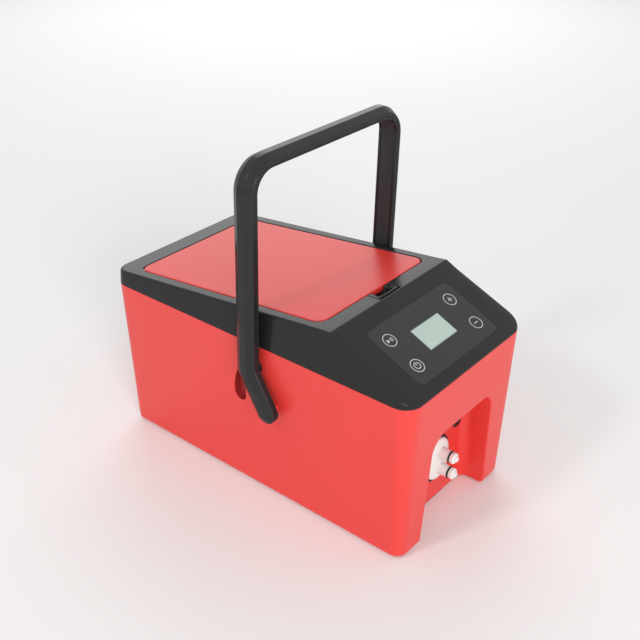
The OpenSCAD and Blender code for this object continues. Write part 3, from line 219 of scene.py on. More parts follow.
def softened(corners, radius, count=4, closed=False, support=0.5):
    """A line with rounded bends: each bend is the curve (1-t)^2 A + 2t(1-t) P + t^2 B.

    A and B lie on the legs at the radius from the bend P. A further point on
    each leg keeps the flats beside the bend flat in shading.
    """
    pts = np.asarray(corners, float)
    n = len(pts)
    radii = np.broadcast_to(radius, n)
    out = []
    for i in range(n):
        if not closed and i in (0, n - 1):
            out.append(pts[i][None])
            continue
        here, before, after = pts[i], pts[i - 1] - pts[i], pts[(i + 1) % n] - pts[i]
        reach_a, reach_b = np.linalg.norm(before), np.linalg.norm(after)
        if radii[i] <= 0:
            out.append(here[None])
            continue
        r = min(radii[i], 0.45 * reach_a, 0.45 * reach_b)
        extra = min(support, 0.4 * r + 0.1)
        a, b = here + before / reach_a * r, here + after / reach_b * r
        t = np.linspace(0, 1, count + 1)[:, None]
        bend = (1 - t) ** 2 * a + 2 * t * (1 - t) * here + t**2 * b
        far_a, far_b = here + before / reach_a * (r + extra), here + after / reach_b * (r + extra)
        lead = [far_a[None]] if r + extra < 0.49 * reach_a else []
        tail = [far_b[None]] if r + extra < 0.49 * reach_b else []
        out += [*lead, bend, *tail]
    return np.concatenate(out)


def around(half_x, half_y, across, along, bend_steps):
    """Centres and outward directions round a rounded rectangle, anticlockwise from its front left.

    Outline point = centre + radius * direction. The sides carry the given
    fractions, and the bends turn the direction through a right angle.
    """
    across, along = np.asarray(across, float), np.asarray(along, float)
    q = np.linspace(0, RIGHT_ANGLE, bend_steps + 1)[1:-1]
    c, n = np.cos(q), np.sin(q)
    legs = [
        (half_x * across, -half_y, 0 * across, -1 + 0 * across),
        (half_x, -half_y, n, -c),
        (half_x, half_y * along, 1 + 0 * along, 0 * along),
        (half_x, half_y, c, n),
        (half_x * across[::-1], half_y, 0 * across, 1 + 0 * across),
        (-half_x, half_y, -n, c),
        (-half_x, half_y * along[::-1], -1 + 0 * along, 0 * along),
        (-half_x, -half_y, -c, -n),
    ]
    centres = np.concatenate([np.stack(np.broadcast_arrays(a, b, d)[:2], -1) for a, b, d, _ in legs])
    ways = np.concatenate([np.stack([d, e], -1) for _, _, d, e in legs])
    return centres, ways


def rounded_plan(half_x, half_y, radius, count=6, legs=6):
    """Outline maker for a rounded rectangle: grow it by g and the radius grows by g."""
    even = np.linspace(-1, 1, legs + 1)
    centres, ways = around(half_x - radius, half_y - radius, even, even, count)
    return lambda grow: centres + ways * np.maximum(radius + grow, 0.01)


def stadium_plan(half_x, half_y, count=14):
    """Outline maker for a stadium with its long axis upright: two half circles and straight legs."""
    q = np.linspace(0, math.pi, count + 1)
    top = np.stack([np.cos(q), np.sin(q)], -1)
    ways = np.concatenate([top, -top])
    rise = half_y - half_x
    lift = np.concatenate([np.full(count + 1, rise), np.full(count + 1, -rise)])
    return lambda grow: ways * (half_x + grow) + np.stack([0 * lift, lift], -1)


def raised(plan, height):
    """Plan points given one height."""
    return np.column_stack([plan, np.full(len(plan), height)])


def walk(xs, ys):
    """Round a rectangle anticlockwise from its front left, through the x stops and the y stops."""
    legs = [(xs, ys[0]), (xs[-1], ys), (xs[::-1], ys[-1]), (xs[0], ys[::-1])]
    return np.concatenate([np.stack(np.broadcast_arrays(*leg), -1)[:-1] for leg in legs])


def border(grid):
    """The outer points of a grid: first row, last column, last row back, first column back."""
    return np.concatenate([grid[0], grid[1:, -1], grid[-1, ::-1][1:], grid[::-1, 0][1:-1]])


# ---- meshes ----


def linked(name, data):
    """A new object of the data, linked to the scene."""
    made = bpy.data.objects.new(name, data)
    bpy.context.scene.collection.objects.link(made)
    return made


class Skin:
    """Collects grids of points in millimetres and joins them into one closed mesh."""

    def __init__(self):
        self.points, self.quads, self.covers, self.count = [], [], [], 0

    def sheet(self, points, ring=False):
        """Adds a grid of points, rows by columns, whose last column may join the first."""
        points = np.asarray(points, float)
        rows, columns = points.shape[:2]
        at = self.count + np.arange(rows * columns).reshape(rows, columns)
        if ring:
            at = np.hstack([at, at[:, :1]])
        self.quads.append(np.stack([at[:-1, :-1], at[:-1, 1:], at[1:, 1:], at[1:, :-1]], -1).reshape(-1, 4))
        self.points.append(points.reshape(-1, 3))
        self.count += rows * columns

    def cover(self, loop):
        """Closes a flat loop of points with one face."""
        loop = np.asarray(loop, float)
        self.covers.append(list(range(self.count, self.count + len(loop))))
        self.points.append(loop)
        self.count += len(loop)

    def tube(self, rings):
        """Closed rings joined into a tube, with a face over each end."""
        self.sheet(rings, ring=True)
        self.cover(rings[0])
        self.cover(rings[-1])

    def stack(self, outline, profile, place):
        """A profile of (grow, height) pairs carried round an outline, closed at both ends."""
        self.tube(place(np.stack([raised(outline(grow), height) for grow, height in profile])))

    def lathe(self, profile, place, count=48):
        """A profile of (radius, height) pairs turned about the height axis, closed at both ends."""
        profile = np.asarray(profile, float)
        q = np.linspace(0, 2 * math.pi, count, endpoint=False)
        radius, height = profile[:, :1], np.broadcast_to(profile[:, 1:], (len(profile), count))
        self.tube(place(np.stack([radius * np.cos(q), radius * np.sin(q), height], -1)))

    def piece(self, name, body, finish, replaces=(), crease=33.0):
        """Makes the object: joins equal points, closes flat openings and turns every face outwards."""
        mesh = bpy.data.meshes.new(name)
        faces = np.concatenate(self.quads).tolist() + self.covers
        mesh.from_pydata(np.concatenate(self.points) * MM, [], faces)
        shell = bmesh.new()
        shell.from_mesh(mesh)
        bmesh.ops.remove_doubles(shell, verts=shell.verts, dist=2e-6)
        bmesh.ops.dissolve_degenerate(shell, dist=1e-6, edges=shell.edges)
        open_edges = [e for e in shell.edges if e.is_boundary]
        if open_edges:
            bmesh.ops.holes_fill(shell, edges=open_edges, sides=0)
        bmesh.ops.recalc_face_normals(shell, faces=shell.faces)
        torn = [e for e in shell.edges if len(e.link_faces) != 2]
        if torn:
            where = torn[0].verts[0].co / MM
            raise RuntimeError(f"{name} has {len(torn)} open edges, one near {tuple(where)}")
        shell.to_mesh(mesh)
        shell.free()
        mesh.shade_smooth()
        mesh.set_sharp_from_angle(angle=math.radians(crease))
        made = linked(name, mesh)
        mesh.materials.append(finish)
        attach(made, body)
        if replaces:
            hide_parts(*replaces)


# ---- materials ----


class Reading:
    """A value read from a socket. Arithmetic on it adds Math nodes."""

    def __init__(self, tree, socket):
        self.tree, self.socket = tree, socket

    def math(self, operation, *others, clamp=False):
        """A Math node of this value and the others."""
        node = self.tree.nodes.new("ShaderNodeMath")
        node.operation, node.use_clamp = operation, clamp
        for slot, value in zip(node.inputs, (self, *others)):
            if isinstance(value, Reading):
                self.tree.links.new(value.socket, slot)
            else:
                slot.default_value = value
        return Reading(self.tree, node.outputs[0])

    def __add__(self, other):
        return self.math("ADD", other)

    def __mul__(self, other):
        return self.math("MULTIPLY", other)

    def __sub__(self, other):
        return self.math("SUBTRACT", other)

    def __rsub__(self, other):
        return (self * -1.0).math("ADD", other)

    __radd__, __rmul__ = __add__, __mul__

    def size(self):
        """Its value without the sign."""
        return self.math("ABSOLUTE")

    def under(self, limit, soft):
        """1 where the value is below the limit, 0 above it, with a soft edge of the given width."""
        return ((limit - self) * (1.0 / soft) + 0.5).math("ADD", 0.0, clamp=True)


class Nodes:
    """The node tree of a material or a world, in the making."""

    def __init__(self, owner):
        owner.use_nodes = True
        self.tree = owner.node_tree
        self.tree.nodes.clear()

    def node(self, kind, settings=None, inputs=None, output=0):
        """A node with its settings set first, then its sockets' values or links."""
        made = self.tree.nodes.new(kind)
        for key, value in (settings or {}).items():
            setattr(made, key, value)
        for key, value in (inputs or {}).items():
            self.put(made.inputs[key], value)
        return Reading(self.tree, made.outputs[output])

    def put(self, socket, value):
        """Links a reading to a socket, or sets the socket's own value."""
        if isinstance(value, Reading):
            self.tree.links.new(value.socket, socket)
        elif socket.type == "RGBA" and len(value) == 3:
            socket.default_value = (*value, 1.0)
        else:
            socket.default_value = value

    def end(self, kind, value):
        """The output node, fed by a reading."""
        self.put(self.tree.nodes.new(kind).inputs[0], value)


class Finish(Nodes):
    """A material in the making."""

    def __init__(self, name):
        self.material = bpy.data.materials.new(PREFIX + name)
        super().__init__(self.material)
        self.shader = self.tree.nodes.new("ShaderNodeBsdfPrincipled")
        self.end("ShaderNodeOutputMaterial", Reading(self.tree, self.shader.outputs[0]))
        self.place = self.node("ShaderNodeTexCoord", output="Object")

    def set(self, **values):
        """Sets the shader's sockets, with _ for a blank in their names."""
        for key, value in values.items():
            self.put(self.shader.inputs[key.replace("_", " ")], value)

    def noise(self, scale, detail=2.0, where=None):
        """Noise of the given scale, in turns per metre."""
        inputs = {"Vector": where or self.place, "Scale": scale, "Detail": detail}
        return self.node("ShaderNodeTexNoise", inputs=inputs)

    def turned(self, location=(0, 0, 0), rotation=(0, 0, 0), scale=(1, 1, 1)):
        """Object coordinates moved, turned and scaled."""
        return self.node(
            "ShaderNodeMapping",
            {"vector_type": "POINT"},
            {"Vector": self.place, "Location": location, "Rotation": rotation, "Scale": scale},
        )

    def axes(self, vector):
        """The three readings of a vector."""
        parts = self.tree.nodes.new("ShaderNodeSeparateXYZ")
        self.tree.links.new(vector.socket, parts.inputs[0])
        return [Reading(self.tree, o) for o in parts.outputs]

    def mix(self, factor, a, b):
        """Colour a where the factor is 0 and colour b where it is 1."""
        made = self.tree.nodes.new("ShaderNodeMix")
        made.data_type = "RGBA"
        for name, value in (("Factor_Float", factor), ("A_Color", a), ("B_Color", b)):
            self.put(next(i for i in made.inputs if i.identifier == name), value)
        return Reading(self.tree, next(o for o in made.outputs if o.identifier == "Result_Color"))

    def bump(self, height, strength, depth):
        """Feeds a height reading into the shader's normal. Depth is in metres."""
        bump = {"Height": height, "Strength": strength, "Distance": depth}
        self.set(Normal=self.node("ShaderNodeBump", inputs=bump))


def shade(tone, factor):
    """A colour made lighter or darker."""
    return tuple(min(1.0, v * factor) for v in tone)


def moulded(name, tone, rough, grain=900.0, depth=0.00002, gloss=0.5, coat=0.0, flow=0.06, deep=None):
    """Moulded plastic: fine grain, faint flow clouds in the colour, and uneven gloss.

    Where deep, a function of the finish, gives 1 the colour goes down to 0.3 of its own: this is painted
    shade.
    """
    f = Finish(name)
    clouds = f.noise(14.0, 3.0)
    specks = f.noise(grain, 2.0)
    colour = f.mix(clouds, shade(tone, 1 - flow), shade(tone, 1 + flow))
    f.set(
        # painted shade: where deep is given, the colour goes down to 0.3 of its own there
        Base_Color=f.mix(deep(f), colour, shade(tone, 0.3)) if deep else colour,
        Roughness=specks * 0.05 + (clouds * 0.05 + (rough - 0.05)),
        Specular_IOR_Level=gloss,
        Coat_Weight=coat,
        Coat_Roughness=0.2,
    )
    f.bump(specks, 0.35, depth)


def slot_painted_shade(f, s):
    """Mask of painted shade: 0.8 in the guide slots, more than 0.6 mm under the drafted side, and 0
    elsewhere; it darkens the red there in place of the shadow of a deeper slot.
    """
    x, y, z = f.axes(f.place)
    side = (z - s.base * MM) * math.tan(s.draft) + (s.corner_x + s.corner) * MM
    under = (x.size() - side).under(-0.6 * MM, 0.4 * MM)
    for reading, (middle, half) in zip((y, z), SLOT_BOX):
        under = under * (reading - middle * MM).size().under(half * MM, MM)
    return under * 0.8


def rubbery(name, tone):
    """Rubber: matt, with a fine pitted skin and pale dust in the pits."""
    f = Finish(name)
    pits = f.noise(2400.0, 3.0)
    dust = f.noise(60.0, 2.0)
    f.set(
        Base_Color=f.mix(dust * 0.6, tone, shade(tone, 2.4)),
        Roughness=pits * 0.12 + 0.62,
        Specular_IOR_Level=0.35,
    )
    f.bump(pits, 0.5, 0.00004)


def metal(name, tone, rough, drawn=(1, 1, 18)):
    """Brushed metal: noise stretched along one axis drives roughness and fine lines."""
    f = Finish(name)
    lines = f.noise(500.0, 3.0, f.turned(scale=drawn))
    f.set(
        Base_Color=f.mix(lines, shade(tone, 0.86), shade(tone, 1.1)),
        Metallic=1.0,
        Roughness=lines * 0.16 + rough,
    )
    f.bump(lines, 0.25, 0.00003)


def foamed(name, tone):
    """Expanded foam: rounded beads from Voronoi cells."""
    f = Finish(name)
    cells = {"Vector": f.place, "Scale": 380.0}
    beads = f.node("ShaderNodeTexVoronoi", {"feature": "F1"}, cells, "Distance")
    colour = f.mix(beads, shade(tone, 1.05), shade(tone, 0.82))
    f.set(Base_Color=colour, Roughness=0.8, Specular_IOR_Level=0.3)
    f.bump(1.0 - beads, 0.6, 0.0004)


def circuit(name, tone):
    """Circuit board: lacquer over paler copper tracks from a brick pattern."""
    f = Finish(name)
    tracks = f.node(
        "ShaderNodeTexBrick",
        {"offset": 0.35},
        {"Vector": f.turned(rotation=(0.6, 0.4, 0.8)), "Scale": 260.0, "Mortar Size": 0.035},
        "Fac",
    )
    f.set(Base_Color=f.mix(tracks, tone, shade(tone, 2.3)), Roughness=tracks * -0.1 + 0.34)
    f.bump(tracks, 0.3, 0.00005)


def milky(name, tone):
    """Milky flexible hose: soft clouds in the wall and a slight see-through."""
    f = Finish(name)
    clouds = f.noise(90.0, 3.0)
    f.set(
        Base_Color=f.mix(clouds, shade(tone, 0.9), shade(tone, 1.08)),
        Roughness=clouds * 0.1 + 0.28,
        Subsurface_Weight=0.2,
        Subsurface_Radius=(0.002, 0.002, 0.002),
    )
    f.bump(clouds, 0.2, 0.0001)


def panel_place(f, x, y, s):
    """A vector reading in millimetres, with its origin on the panel at x, y from the controls' middle."""
    placed = f.turned(location=tuple(-on_panel([x, y, 0.0], s) * MM))
    return f.node(
        "ShaderNodeMapping",
        {"vector_type": "POINT"},
        {"Vector": placed, "Rotation": (-s.panel_tilt, 0, 0), "Scale": (1000, 1000, 1000)},
    )


def key_sign(sign, s):
    """Key face: a printed ring and a generic sign on dark foil, drawn from distances in the key's plane."""
    t = tints()
    across, up = KEYS[sign]
    f = Finish("key_" + sign)
    u, v, w = f.axes(panel_place(f, across * s.key_x, up * s.key_y, s))
    radius = (u * u + v * v).math("SQRT")
    edge = 0.18
    bar = lambda value, half, at=0.0: (value - at).size().under(half, edge)
    flat = lambda half_u, half_v, du=0.0, dv=0.0: bar(u, half_u, du) * bar(v, half_v, dv)
    join = lambda a, b: a.math("MAXIMUM", b)
    ring = bar(radius, 0.42, 6.15)
    if sign == "plus":
        mark = join(flat(2.6, 0.46), flat(0.46, 2.6))
    elif sign == "minus":
        mark = flat(2.6, 0.46)
    elif sign == "power":
        gap = u.size().under(1.3, edge) * (v * -1.0).under(0.0, edge)
        bow = bar(radius, 0.46, 3.0) * (1.0 - gap)
        mark = join(bow, flat(0.46, 1.7, 0.0, 2.0))
    else:
        wedge = (v.size() * 1.6 + (u + 3.4)).under(3.4, edge) * (u * -1.0 - 3.4).under(0.0, edge)
        mark = join(wedge, join(flat(0.4, 2.0, 1.4), flat(0.4, 2.0, 3.1)))
    face = (w * -1.0).under(0.2, 0.1)
    print_mask = join(ring, mark) * face
    specks = f.noise(1500.0, 2.0)
    f.set(
        Base_Color=f.mix(print_mask, t.panel, t.print_grey),
        Roughness=specks * 0.06 + (print_mask * 0.1 + 0.36),
        Specular_IOR_Level=0.22,
    )
    f.bump(specks + print_mask * 0.5, 0.3, 0.00003)


def display_face(s):
    """Unlit display: pale grey-green haze with a darker rim under the glass."""
    f = Finish("display_face")
    t = tints()
    haze = f.noise(30.0, 2.0)
    u, v, _ = f.axes(panel_place(f, 0.0, 0.0, s))
    rim = (u.size() - 19.2).math("MAXIMUM", v.size() - 11.1)
    glass = f.mix(haze, t.display, shade(t.display, 1.1))
    f.set(
        Base_Color=f.mix(rim.under(0.0, 0.9), shade(t.display, 0.55), glass),
        Roughness=haze * 0.06 + 0.3,
        Specular_IOR_Level=0.35,
    )


def make_finishes():
    t = tints()
    s = sizes()
    body, black, rubber = tuple(t.body), tuple(t.black), tuple(t.rubber)
    # painted shade: the red is darkened inside the guide slots, standing in for the shadow of a deeper slot
    moulded("body_red", body, 0.36, gloss=0.55, flow=0.03, deep=lambda f: slot_painted_shade(f, s))
    moulded("lid_red", shade(body, 0.93), 0.32, gloss=0.16, flow=0.03)
    moulded("top_black", black, 0.4, 1400.0, gloss=0.0, coat=0.5)
    moulded("handle_black", shade(black, 1.1), 0.36, 1400.0, gloss=0.0, coat=0.6)
    rubbery("grip_rubber", shade(rubber, 1.5))
    moulded("control_foil", tuple(t.panel), 0.40, 1500.0, gloss=0.22)
    display_face(s)
    moulded("fitting_white", tuple(t.fitting), 0.38, 700.0, gloss=0.5, flow=0.02)
    rubbery("rubber_black", rubber)
    moulded("socket_black", (0.012, 0.012, 0.013), 0.36, 1200.0)
    moulded("slot_glide", (0.02, 0.02, 0.02), 0.4, gloss=0.3)
    rubbery("seal_grey", (0.2, 0.22, 0.23))
    moulded("tank_pale", (0.75, 0.78, 0.8), 0.35)
    foamed("foam", (0.85, 0.85, 0.82))
    metal("steel", (0.6, 0.61, 0.63), 0.26)
    moulded("inner_grey", (0.45, 0.47, 0.49), 0.5)
    moulded("pump_dark", (0.06, 0.07, 0.08), 0.5, 500.0, 0.00005)
    metal("motor_metal", (0.5, 0.52, 0.54), 0.34, (14, 1, 1))
    circuit("board_green", (0.03, 0.2, 0.08))
    moulded("part_black", (0.02, 0.02, 0.022), 0.45)
    moulded("display_grey", (0.45, 0.5, 0.48), 0.5)
    milky("hose_clear", (0.7, 0.74, 0.76))
    rubbery("lead_black", (0.015, 0.015, 0.016))
    rubbery("lead_red", (0.3, 0.02, 0.02))
    for sign in KEYS:
        key_sign(sign, s)


def finish(name):
    """A finish made by the first operator."""
    return bpy.data.materials[PREFIX + name]


# ---- red body ----


def red_radius(z, s):
    """Distance of the red side from the corner centres: the draft, less a quarter circle at each edge."""
    up = z - s.base
    low = np.clip(s.foot_edge - up, 0, s.foot_edge)
    high = np.clip(z - (s.part - s.lip), 0, s.lip)
    return (
        s.corner
        + math.tan(s.draft) * up
        - (s.foot_edge - np.sqrt(s.foot_edge**2 - low**2))
        - (s.lip - np.sqrt(np.maximum(s.lip**2 - high**2, 0)))
    )


def arch_line(grow, heights, across, s):
    """Recess outline in the x-z plane: leaning legs, round bends and a level top, grown outwards.

    The legs take the given heights, spread above 20 mm to end at the bends.
    """
    r = s.arch_round + grow
    c, n, k = math.cos(s.arch_lean), math.sin(s.arch_lean), math.tan(s.arch_lean)
    zc = s.arch_top - s.arch_round
    xc = s.arch_half - (zc - s.base) * k - s.arch_round / c
    z_end = zc + r * n
    spread = 20 + (heights - 20) * (z_end - 20) / (heights[-1] - 20)
    z_side = np.where(heights < 20, heights, spread)
    x_side = s.arch_half + grow / c - (np.maximum(z_side, s.base) - s.base) * k
    bend, level = r * (RIGHT_ANGLE - s.arch_lean), 2 * xc
    run = (across + 1) / 2 * (2 * bend + level)
    q = math.pi - s.arch_lean - np.clip(run, 0, bend) / r
    q2 = np.clip(run - bend - level, 0, bend) / r
    turn = np.where(run <= bend + level, q, RIGHT_ANGLE - q2)
    middle = -xc + np.clip(run - bend, 0, level)
    top = np.stack([middle + r * np.cos(turn), zc + r * np.sin(turn)], -1)
    left = np.stack([-x_side, z_side], -1)
    right = np.stack([x_side, z_side], -1)[::-1]
    return np.concatenate([left[:-1], top, right[1:]])


def slot_reach(grow, directions, centre, s):
    """Distance from a centre to the guide slot's outline in the given directions.

    The outline is an arc band about the pivot with round ends.
    """
    half = s.slot_half + grow
    low, high = SLOT_ENDS
    q = np.linspace(0, 1, 181)
    turn = low + (high - low) * q
    ring = lambda r, a: np.stack([s.pivot_y + r * np.cos(a), s.pivot_z + r * np.sin(a)], -1)
    end = lambda a, b: ring(s.elbow, a) + half * np.stack([np.cos(b), np.sin(b)], -1)
    line = np.concatenate(
        [
            ring(s.elbow + half, turn),
            end(high, high + math.pi * q[1:]),
            ring(s.elbow - half, turn[::-1])[1:],
            end(low, low + math.pi + math.pi * q[1:-1]),
        ]
    )
    off = line - centre
    bearing = np.arctan2(off[:, 1], off[:, 0])
    order = np.argsort(bearing)
    return np.interp(directions, bearing[order], np.hypot(*off[order].T), period=2 * math.pi)


def red_body(s):
    """The red tub: drafted sides, an arched recess in front, a guide slot in each side and a hollow."""
    skin = Skin()
    low = s.base + s.foot_edge * (1 - np.cos(np.linspace(0, RIGHT_ANGLE, 7)))
    body = steps((s.base + s.foot_edge + 0.8, 1), (s.part - 1.8, 24), (s.part - s.lip - 0.3, 2))
    lip = s.part - s.lip + s.lip * np.sin(np.linspace(0, RIGHT_ANGLE, 4))
    levels = np.concatenate([low, body, lip])
    across = np.linspace(-1, 1, 49)
    along = steps((-1, 1), (-0.3, 14), (0.42, 44), (1, 12))
    centres, ways = around(s.corner_x, s.corner_y, across, along, 10)
    rings = np.stack([raised(centres + ways * red_radius(z, s), z) for z in levels])
    nx, ny, bend = len(across), len(along), 9
    right = nx + bend
    back_end = right + ny + bend + nx + bend
    first, last = len(low), len(low) + len(body) - 1
    skin.sheet(rings[:, nx - 1 : right + 1])
    skin.sheet(rings[:, right + ny - 1 : back_end + 1])
    skin.sheet(np.concatenate([rings[:, back_end + ny - 1 :], rings[:, :1]], 1))
    skin.sheet(rings[last:, :nx])

    far, turn = SLOT_MIDDLE
    middle = np.array([s.pivot_y + far * math.cos(turn), s.pivot_z + far * math.sin(turn)])
    for side, start in ((1, right), (-1, back_end)):
        columns = rings[:, start : start + ny]
        skin.sheet(columns[: first + 1])
        skin.sheet(columns[last:])
        loop = border(columns[first : last + 1, :, 1:])
        off = loop - middle
        bearing = np.arctan2(off[:, 1], off[:, 0])
        aim = np.stack([np.cos(bearing), np.sin(bearing)], -1)
        rim = lambda grow: middle + aim * slot_reach(grow, bearing, middle, s)[:, None]
        drafted = lambda z, depth: side * (s.corner_x + red_radius(z, s) - depth)
        flare = lambda yz, depth: np.column_stack([drafted(yz[:, 1], depth), yz])
        edge = s.opening_edge * 0.7
        rows = [flare(loop + (rim(edge) - loop) * t, 0.0) for t in (0, 0.2, 0.4, 0.6, 0.8, 0.95, 1)]
        for q in np.linspace(0, RIGHT_ANGLE, 5)[1:]:
            rows.append(flare(rim(edge * (1 - math.sin(q))), edge * (1 - math.cos(q))))
        flat = lambda x: np.column_stack([np.full(len(loop), side * x), rim(0.0)])
        rows += [flat(s.slot_floor + 0.4), flat(s.slot_floor)]
        skin.sheet(np.stack(rows), ring=True)
        skin.cover(rows[-1])

    top = levels[last]
    heights = levels[: last + 1]
    face = np.concatenate(
        [
            np.stack([np.full(last + 1, -s.corner_x), heights], -1)[:-1],
            np.stack([s.corner_x * across, np.full(nx, top)], -1),
            np.stack([np.full(last + 1, s.corner_x), heights], -1)[::-1][1:],
        ]
    )
    arch = lambda grow: arch_line(grow, heights, across, s)
    facing = lambda xz, y: np.column_stack([xz[:, 0], np.broadcast_to(y, len(xz)), xz[:, 1]])
    front = lambda xz, depth: facing(xz, depth - s.corner_y - red_radius(xz[:, 1], s))
    edge = s.opening_edge
    rows = [front(face + (arch(edge) - face) * t, 0.0) for t in (0, 0.3, 0.6, 0.9, 0.97, 1)]
    for q in np.linspace(0, RIGHT_ANGLE, 6)[1:]:
        rows.append(front(arch(edge * (1 - math.sin(q))), edge * (1 - math.cos(q))))
    begin = rows[-1]
    inner = s.recess_round
    deep = s.recess_y - inner
    for t in (0.06, 0.5, 0.95, 1.0):
        row = begin.copy()
        row[:, 1] += (deep - row[:, 1]) * t
        rows.append(row)
    for q in np.linspace(0, RIGHT_ANGLE, 8)[1:]:
        rows.append(facing(arch(-inner * (1 - math.cos(q))), deep + inner * math.sin(q)))
    rows.append(facing(arch(-inner - 1.0), s.recess_y))
    skin.sheet(np.stack(rows))
    skin.cover(rows[-1])

    rim = rings[-1]
    inside = raised(centres + ways * (s.part_radius - WALL), s.part)
    hollow = inside * [77.6 / 84.2, 0.9, 1] + [0, 12.5, -9]
    ground = hollow * [0.94, 1, 0] + [0, 0, s.base + WALL]
    skin.sheet(np.stack([rim, inside, inside - [0, 0, 0.4], hollow, ground]), ring=True)
    skin.cover(ground)

    boss = softened([(0, 0), (s.boss, 0), (s.boss, 13), (0, 13)], (0, 0, 0.5, 0))
    for side in (1, -1):
        turn = lambda p, side=side: np.stack(
            [side * (78.0 + p[..., 2]), s.pivot_y + p[..., 0], s.pivot_z + p[..., 1]], -1
        )
        skin.lathe(boss[1:], turn)
    skin.piece("red_body", "machine", finish("body_red"), ["lower_shell"])


# ---- black top ----


def roof(y, s, sunk=0.0):
    """Height of deck and panel: two planes that meet at the fold through a short parabola."""
    rise, fall, q = math.tan(s.panel_tilt), math.tan(s.deck_tilt), s.fold_soft
    off = y - s.fold_y
    soft = rise * off - (rise + fall) * (off + q) ** 2 / (4 * q)
    plane = np.where(off < -q, rise * off, np.where(off > q, -fall * off, soft))
    return s.fold_z + plane - sunk


def crown(points, s):
    """How far the panel lies under its plane.

    The rim falls by d (1 - e/w)^2 at a distance e < w from the outline, and this
    fades out over the last of the panel towards the fold. The bed under the foil
    falls by 3t^2 - 2t^3 over 4 mm, from 4 mm inside the foil's edge.
    """
    x, y, z = np.moveaxis(np.asarray(points, float), -1, 0)
    reach = np.hypot(np.maximum(np.abs(x) - s.corner_x, 0), np.maximum(np.abs(y) - s.corner_y, 0))
    inside = s.part_radius - math.tan(s.top_lean) * (z - s.part) - reach
    fade = np.clip((s.fold_y - 1 - y) / 14, 0, 1)
    rim = s.crown * np.clip(1 - inside / s.crown_wide, 0, 1) ** 2 * fade * (2 - fade)
    down = (s.fold_y - y) / math.cos(s.panel_tilt) - s.panel_middle
    t = np.clip((np.minimum(s.foil_x - np.abs(x), s.foil_y - np.abs(down)) - 4) / 4, 0, 1)
    return rim + s.foil_bed * t**2 * (3 - 2 * t)


def round_lid(front, half_x, half_y, radius, s):
    """A line along the lid's front, led on round corners, sides and rear, in deck coordinates."""
    cx, cy, mid = half_x - radius, half_y - radius, s.lid_middle
    q = np.linspace(0, RIGHT_ANGLE, 11)[1:-1]
    turn = lambda a, b, c, n: np.stack([a + radius * c, b + radius * n], -1)
    line = [
        front,
        turn(cx, mid - cy, np.sin(q), -np.cos(q)),
        np.linspace((half_x, mid - cy), (half_x, mid + cy), 22),
        turn(cx, mid + cy, np.cos(q), np.sin(q)),
        np.linspace((cx, mid + half_y), (-cx, mid + half_y), 49),
        turn(-cx, mid + cy, -np.sin(q), np.cos(q)),
        np.linspace((-half_x, mid + cy), (-half_x, mid - cy), 22),
        turn(-cx, mid - cy, -np.cos(q), -np.sin(q)),
    ]
    return np.concatenate(line)


def opening_line(grow, s):
    """The lid opening, with the latch pocket in its front edge."""
    half_x, half_y = s.lid_half + s.lid_gap + grow, s.lid_long + s.lid_gap + grow
    radius = s.lid_round + s.lid_gap + grow
    cx, front = half_x - radius, s.lid_middle - half_y
    x, u = POCKET_HALF + grow, POCKET_START - grow
    stops = [(-cx, front), (-x, front), (-x, u), (x, u), (x, front), (cx, front)]
    counts = (12, 5, 14, 5, 12)
    legs = [np.linspace(a, b, n, endpoint=False) for a, b, n in zip(stops, stops[1:], counts)]
    return round_lid(np.concatenate([*legs, stops[-1:]]), half_x, half_y, radius, s)


def ledge_line(inset, s):
    """The ledge's inner edge, with as many points as the opening."""
    half_x, half_y = s.lid_half + s.lid_gap - inset, s.lid_long + s.lid_gap - inset
    radius = max(s.lid_round + s.lid_gap - inset, 2.5)
    cx, front = half_x - radius, s.lid_middle - half_y
    return round_lid(np.linspace((-cx, front), (cx, front), 49), half_x, half_y, radius, s)


def roof_outline(inset, sunk, s, centres, ways):
    """Where the leaning side, moved in by an inset, meets the roof: z is solved from the side's radius."""
    k = math.tan(s.top_lean)
    z = np.full(len(centres), s.fold_z)
    for _ in range(12):
        plan = centres + ways * (s.part_radius - k * (z - s.part) - inset)[:, None]
        z = roof(plan[:, 1], s, sunk) - crown(np.column_stack([plan, z]), s)
    return np.column_stack([plan, z])


def roof_sheets(skin, edge_line, hole, counts, stop, sunk, s):
    """Roof from its outline to the lid opening: rows across the panel, then a collar round the opening."""
    nx, ny, bend = counts
    right, left = nx + bend, nx + bend + ny + bend + nx + bend
    ahead = np.arange(right + stop - nx + 2)
    left_ends, right_ends = edge_line[-ahead], edge_line[nx - 1 + ahead]
    x = np.linspace(0, 1, nx)[None, :, None]
    rows = left_ends[:, None] + (right_ends - left_ends)[:, None] * x
    rows[0] = edge_line[:nx]
    rows[..., 2] = roof(rows[..., 1], s, sunk) - crown(rows, s)
    skin.sheet(rows)
    ring = np.concatenate([rows[-1], edge_line[right + stop + 1 : left + ny - 1 - stop]])
    collar = [ring + (hole - ring) * t for t in (0, 0.4, 0.8, 0.96, 1)]
    for part in collar:
        part[:, 2] = roof(part[:, 1], s, sunk)
    skin.sheet(np.stack(collar), ring=True)


